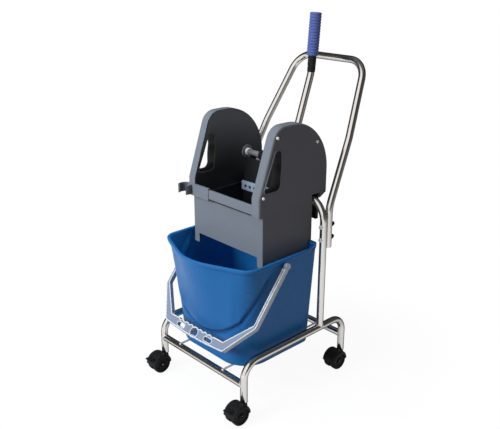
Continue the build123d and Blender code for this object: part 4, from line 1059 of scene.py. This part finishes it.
class TROLLEY_OT_bushes(bpy.types.Operator):
    """Turns the flanged bushes, dished rings on the jaw's axle and the lever shaft, and two collars"""

    bl_idname = "trolley.bushes"
    bl_label = "Bushes"

    def execute(self, context):
        face = context.scene.trolley_wringer.bush_face
        outer, back, ring, dish = high("shaft_bushes")[0], face + 0.004, face - 0.0010, face + 0.0026
        body, flange = 0.0119, 0.0188
        for node, name, finish, taken in (
            ("jaw_axle", "axle_bushes", "bush", ("shaft_bushes",)),
            ("lever_shaft", "shaft_bush_rings", "black_plastic", ()),
        ):
            shaft = self.shaft_radius(node) + 0.0004
            profile = (
                (outer, shaft), (outer, body), (back, body), (back, flange), (ring, flange),
                (ring, flange - 0.0034), (dish, flange - 0.0050), (dish, shaft),
            )
            radii = (0.0005, 0.0003, 0.0006, 0.0012, 0.0012, 0.0006)
            self.make_pair(name, node, profile, radii, 56, finish, *taken)
        # The collars are white, a painted highlight on the axle's ends
        shaft = self.shaft_radius("jaw_axle") + 0.0003
        root, end, collar = face + 0.003, face - 0.009, shaft + 0.0022
        profile = ((root, shaft), (root, collar), (end, collar), (end, shaft))
        self.make_pair("axle_collars", "jaw_axle", profile, (0.0004, 0.0012), 40, "collar")
        return {"FINISHED"}

    def shaft_radius(self, node):
        """Radius of a CAD shaft that lies across the trolley."""
        return (high(node)[2] - low(node)[2]) / 2

    def make_pair(self, name, node, corners, radii, sides, finish, *taken):
        """A closed profile turned round a shaft at its left and right end."""
        profile = rounded_profile(corners, radii)
        origin = centre(node) * (0, 1, 1)
        rings = [turned(profile, origin, side * X, Z, sides, closed=True) for side in (-1, 1)]
        put_piece(name, rings, "wringer", "light_grey", *taken, finish=finish)


class TROLLEY_OT_front(bpy.types.Operator):
    """Carries the front lip's channel from cheek to cheek, sweeps the mop clip's open ring and
    turns the domed heads of the cheek screws"""

    bl_idname = "trolley.front"
    bl_label = "Front lip, clip and screws"

    def execute(self, context):
        sizes = context.scene.trolley_wringer
        lo, hi = low("wringer_front_lip"), high("wringer_front_lip")
        front, base, top = lo[1] - sizes.front, lo[2] + sizes.skirt, hi[2]
        back = low("wringer_box")[1] + 0.003
        wall = 0.004
        inside, lap = front + wall, front + 2 * wall
        loop = rounded_loop(
            (
                (front, base), (back, base), (back, base + wall), (inside, base + wall),
                (inside, top - wall), (lap, top - wall), (lap, top), (front, top),
            ),
            (0.0010, 0.0008, 0.0008, 0.0008, 0.0008, 0.0008, 0.0014, 0.0018),
        )
        ends = tuple((x, front + wall / 2, base + wall / 2) for x in (lo[0], hi[0]))
        lip = capped(carried(loop, lo[0], hi[0], 6), ends)
        put_piece("front_lip", [lip], "wringer", "wringer_grey", "wringer_front_lip")
        # Painted shadow: a dark strip along the lip's lower front edge, where the lip's shadow falls on the
        # box
        loop = rounded_box((front - 0.0002, base - 0.0012), (front + 0.004, base + 0.0020), 0.0004)
        painted_shadow = capped(carried(loop, lo[0], hi[0], 4))
        put_piece("lip_painted_shadow", [painted_shadow], "wringer", "black_plastic")
        self.make_clip(front)
        self.make_screws(sizes)
        return {"FINISHED"}

    def make_clip(self, front):
        """A rounded bar's section carried round the ring's open arc, and the flat arm behind it."""
        lo, hi = low("mop_clip"), high("mop_clip")
        outer, wall, inset = 0.020, 0.0045, 0.004
        middle = np.array((lo[0] + 0.0325, front - 0.0095, 0.0))
        section = rounded_box((lo[2] + inset, outer - wall), (hi[2] - inset, outer), 0.0015)
        turn = np.linspace(math.radians(-35), math.radians(215), 60)
        ring = capped(swung(section, middle, Z, X, turn).swapaxes(0, 1))
        put_piece("clip_ring", [ring], "wringer", "black_plastic", finish="clip")
        loop = rounded_box((front - 0.0012, lo[2]), (front + 0.0060, hi[2]), 0.001)
        arm = capped(carried(loop, middle[0] + 0.002, hi[0], 4))
        put_piece("clip_arm", [arm], "wringer", "wringer_grey", "mop_clip")

    def make_screws(self, sizes):
        """Domed heads with a small dimple on the outer faces of both cheeks."""
        node = "wringer_cheek_right"
        front, base = low(node)[1:] - (sizes.front, 0)
        back, top = high(node)[1:] - (sizes.back, 0)
        face = high(node)[0]
        root, dome, dimple = face - 0.004, face + 0.0024, face + 0.0014
        profile = rounded_profile(
            (
                (root, 0.0), (root, 0.0040), (face + 0.0010, 0.0040), (dome, 0.0026),
                (dome, 0.0014), (dimple, 0.0008), (dimple, 0.0),
            ),
            (0.0004, 0.0008, 0.0012, 0.0003, 0.0003),
        )
        places = ((front + 0.060, top - 0.026), (back - 0.047, top - 0.060), (front + 0.0125, base + 0.0510))
        heads = [turned(profile, (0, y, z), side * X, Z, 28) for y, z in places for side in (-1, 1)]
        put_piece("screw_heads", heads, "wringer", "bright_steel", "cheek_screws")


class TROLLEY_OT_apron(bpy.types.Operator):
    """Carries a shallow curve across the jaw as the thin apron between its plate and its axle, and
    a dark strip behind the press bar's holes, painted shade that darkens them"""

    bl_idname = "trolley.apron"
    bl_label = "Jaw apron"

    def execute(self, context):
        lo, hi = low("press_bar")[1:], high("press_bar")[1:]
        half = high("jaw_plate")[0]
        thickness, inset = 0.003, 0.004
        foot = np.array((hi[0] + 0.001, hi[1] - 0.004))
        head = centre("jaw_axle")[1:] - (0.017, 0.011)
        climb = np.linspace(0, 1, 16)
        curve = foot + (head - foot) * np.column_stack([climb**2, climb])
        sheet = np.concatenate([curve, (curve + (thickness, 0))[::-1]])
        # Painted shade: a dark strip that shows only through the press bar's holes
        hole_shade_strip = rounded_box(lo + (0.002, 0.003), hi - (0.001, 0.003), 0.0005)
        widths = ((sheet, half), (hole_shade_strip, half - inset))
        parts = [capped(carried(loop, -reach, reach, 6)) for loop, reach in widths]
        put_piece("jaw_apron", parts, "jaw", "black_plastic")
        return {"FINISHED"}


class TROLLEY_OT_linings(bpy.types.Operator):
    """Carries the hand hole's outline through each cheek as a thin dark sleeve"""

    bl_idname = "trolley.linings"
    bl_label = "Hand hole linings"

    def execute(self, context):
        sizes = context.scene.trolley_wringer
        points, skin_out, bore_in, inset = 120, 0.0002, 0.0006, 0.0005
        for name, side in (("left", -1), ("right", 1)):
            node = f"wringer_cheek_{name}"
            inner, outer = sorted((abs(low(node)[0]), abs(high(node)[0])))
            corner = low(node)[1:] + (0.0125, 0.061)
            hole = ((0, 0), (0.062, 0), (0.062, 0.066), (0.055, 0.102), (0.037, 0.102))
            loop = rounded_loop([corner + point for point in hole], (0.008, 0.018, 0.012, 0.008, 0.008))
            loop = sizes.shift(np.column_stack([np.zeros(points), even_loop(loop, points)]))[:, 1:]
            ways = loop - loop.mean(axis=0)
            ways /= np.linalg.norm(ways, axis=1, keepdims=True)
            start, stop = side * (inner + inset), side * (outer - inset - 0.0001)
            skin = carried(loop + ways * skin_out, start, stop)
            bore = carried(loop - ways * bore_in, start, stop)[::-1]
            sleeve = surface(np.concatenate([skin, bore]), True)
            put_piece(f"hole_lining_{name}", [sleeve], "wringer", "black_plastic")
        return {"FINISHED"}


class TROLLEY_OT_beads(bpy.types.Operator):
    """Lays a round bead along the saddle where one tube meets another: the branch's circle,
    lifted by the height of the main tube's circle under it"""

    bl_idname = "trolley.beads"
    bl_label = "Weld beads"

    def execute(self, context):
        bead = context.scene.trolley_tubes.bead
        angle = np.linspace(0, ROUND, 72, endpoint=False)
        swing, rise = TUBE_R * np.sin(angle), TUBE_R * np.cos(angle)
        paths = []
        for side in (-1, 1):
            for y in (FRONT_Y, REAR_Y):
                x = side * (SIDE_X - np.sqrt(TUBE_R**2 - swing**2))
                paths.append((np.column_stack([x, y + swing, CROSS_Z + rise]), X))
            z = RAIL_Z + np.sqrt(TUBE_R**2 - rise**2)
            paths.append((np.column_stack([side * SIDE_X + rise, POST_Y + swing, z]), Z))
        rings = [surface(tube_grid(path, bead, across, 8, True), True) for path, across in paths]
        put_piece("weld_beads", rings, "frame", "bright_steel")
        return {"FINISHED"}


class TROLLEY_OT_stage(bpy.types.Operator):
    """Sets up the floor, the soft lights, the white surroundings and the camera"""

    bl_idname = "trolley.stage"
    bl_label = "Studio"

    def execute(self, context):
        scene = context.scene
        sizes = scene.trolley_stage
        scene.view_settings.view_transform = "Standard"
        self.make_world(scene)
        self.make_floor(scene)
        self.make_lamp("key", (-0.6, -3.3, 2.1), (0, -0.1, 0.45), 1.6, 165, (0.92, 0.97, 1.0))
        self.make_lamp("top", (-0.3, -0.5, 3.0), (0, 0, 0.4), 2.0, 34, (1.0, 1.0, 1.0))
        self.make_lamp("side", (2.8, 0.4, 1.5), (0, 0, 0.5), 1.8, 14, (0.97, 0.98, 1.0))
        lens = bpy.data.cameras.new("camera")
        lens.lens = sizes.lens
        lens.sensor_width = 36
        lens.clip_end = 60
        camera = bpy.data.objects.new("camera", lens)
        camera.location = sizes.place
        camera.rotation_euler = (math.pi / 2 - sizes.pitch, sizes.roll, sizes.azimuth)
        scene.collection.objects.link(camera)
        scene.camera = camera
        return {"FINISHED"}

    def eye_rays(self, tree):
        """The kinds of ray, and 1 for those of the camera, straight or through glass."""
        rays = add_node(tree, "ShaderNodeLightPath").outputs
        return rays, math_node(tree, "MAXIMUM", rays["Is Camera Ray"], rays["Is Transmission Ray"])

    def make_world(self, scene):
        """White where the camera or glass looks at it. Gloss sees a dark studio with one large
        white screen in front of the trolley, and the rest is a dim even light."""
        world = bpy.data.worlds.new("studio")
        scene.world = world
        world.use_nodes = True
        tree = world.node_tree
        tree.nodes.clear()
        white = (1, 1, 1, 1)
        rays, seen = self.eye_rays(tree)
        way = add_node(tree, "ShaderNodeTexCoord").outputs["Generated"]
        wall = add_node(tree, "ShaderNodeValToRGB", (("Fac", axis_value(tree, way, "Z")),))
        ramp = wall.color_ramp.elements
        for stop, height in zip(ramp, (0.02, 1.0)):
            stop.position = height
            stop.color = (0.10, 0.10, 0.10, 1)
        for height, tone in ((0.16, 0.08), (0.30, 0.06), (0.75, 0.045), (0.88, 0.16)):
            ramp.new(height).color = (tone, tone * 0.96, tone * 0.92, 1)
        ahead = vector_node(tree, "DOT_PRODUCT", way, (0.12, -0.88, 0.46))["Value"]
        screen = mapped(tree, ahead, 0.70, 0.80, kind="SMOOTHSTEP")
        studio = mixed(tree, screen, wall.outputs["Color"], white)
        soft, gloss, plain = (
            add_node(tree, "ShaderNodeBackground", (("Color", colour), ("Strength", strength))).outputs[0]
            for colour, strength in (((0.96, 0.98, 1.0, 1), 0.18), (studio, 1.0), (white, 1.0))
        )
        shine = mixed_shader(tree, rays["Is Glossy Ray"], soft, gloss)
        result = tree.nodes.new("ShaderNodeOutputWorld")
        tree.links.new(mixed_shader(tree, seen, shine, plain), result.inputs["Surface"])

    def make_floor(self, scene):
        """A wide pale floor: near the trolley it takes the shadow, further off it is plain white
        to the camera and to gloss, and it throws little light back up."""
        reach = 12.0
        corners = [(-reach, -reach, 0), (reach, -reach, 0), (reach, reach, 0), (-reach, reach, 0)]
        mesh = bpy.data.meshes.new("floor")
        mesh.from_pydata(corners, [], [(0, 1, 2, 3)])
        floor = bpy.data.objects.new("floor", mesh)
        scene.collection.objects.link(floor)
        made, tree, shader, coordinates = new_material("pale floor")
        shader.inputs["Roughness"].default_value = 0.8
        shader.inputs["Specular IOR Level"].default_value = 0.1
        place = coordinates["Object"]
        rays, seen = self.eye_rays(tree)
        aside = vector_node(tree, "DOT_PRODUCT", place, (0.8, 0.6, 0.0))["Value"]
        sheet = mapped(tree, aside, 0.9, 1.8, 0.5, 0.06)
        seen = math_node(tree, "MAXIMUM", seen, math_node(tree, "MULTIPLY", rays["Is Glossy Ray"], sheet))
        tone = mixed(tree, seen, (0.35, 0.35, 0.35, 1), (0.95, 0.95, 0.95, 1))
        tree.links.new(tone, shader.inputs["Base Color"])
        far = vector_node(tree, "LENGTH", place)["Value"]
        share = math_node(tree, "MULTIPLY", mapped(tree, far, 0.35, 0.75, 0.93, 1.0, "SMOOTHSTEP"), seen)
        glow = add_node(tree, "ShaderNodeEmission", (("Color", (1, 1, 1, 1)),)).outputs[0]
        result = tree.nodes["Material Output"].inputs["Surface"]
        tree.links.new(mixed_shader(tree, share, shader.outputs[0], glow), result)
        mesh.materials.append(made)

    def make_lamp(self, name, place, target, size, power, colour):
        """A square soft lamp that looks at a point."""
        light = bpy.data.lights.new(name, "AREA")
        light.size = size
        light.energy = power
        light.color = colour
        lamp = bpy.data.objects.new(name, light)
        lamp.location = place
        x, y, z = np.subtract(target, place)
        lamp.rotation_euler = (math.atan2(math.hypot(x, y), -z), 0, math.atan2(-x, y))
        lamp.visible_glossy = False
        bpy.context.scene.collection.objects.link(lamp)


class TROLLEY_PT_panel(bpy.types.Panel):
    """Lists the trolley's operators and settings"""

    bl_label = "Trolley"
    bl_idname = "TROLLEY_PT_panel"
    bl_space_type = "VIEW_3D"
    bl_region_type = "UI"
    bl_category = "Trolley"

    def draw(self, context):
        for kind in STEPS:
            self.layout.operator(kind.bl_idname)
        for name, kind in SETTINGS:
            for key in kind.__annotations__:
                self.layout.prop(getattr(context.scene, name), key)


STEPS = (
    TROLLEY_OT_finishes,
    TROLLEY_OT_tubes,
    TROLLEY_OT_bucket,
    TROLLEY_OT_casters,
    TROLLEY_OT_lever,
    TROLLEY_OT_mouldings,
    TROLLEY_OT_bail,
    TROLLEY_OT_bushes,
    TROLLEY_OT_front,
    TROLLEY_OT_apron,
    TROLLEY_OT_linings,
    TROLLEY_OT_beads,
    TROLLEY_OT_stage,
)
SETTINGS = (
    ("trolley_tubes", TrolleyTubes),
    ("trolley_bucket", TrolleyBucket),
    ("trolley_wringer", TrolleyWringer),
    ("trolley_bail", TrolleyBail),
    ("trolley_finishes", TrolleyFinishes),
    ("trolley_stage", TrolleyStage),
)


def register():
    """Registers the settings, operators and panel."""
    for name, kind in SETTINGS:
        bpy.utils.register_class(kind)
        setattr(bpy.types.Scene, name, PointerProperty(type=kind))
    for kind in (*STEPS, TROLLEY_PT_panel):
        bpy.utils.register_class(kind)


def unregister():
    """Takes the settings, operators and panel out again."""
    for kind in (TROLLEY_PT_panel, *reversed(STEPS)):
        bpy.utils.unregister_class(kind)
    for name, kind in reversed(SETTINGS):
        delattr(bpy.types.Scene, name)
        bpy.utils.unregister_class(kind)


def main():
    """Runs every operator in order."""
    register()
    for kind in STEPS:
        group, name = kind.bl_idname.split(".")
        getattr(getattr(bpy.ops, group), name)()


if __name__ == "__main__":
    main()
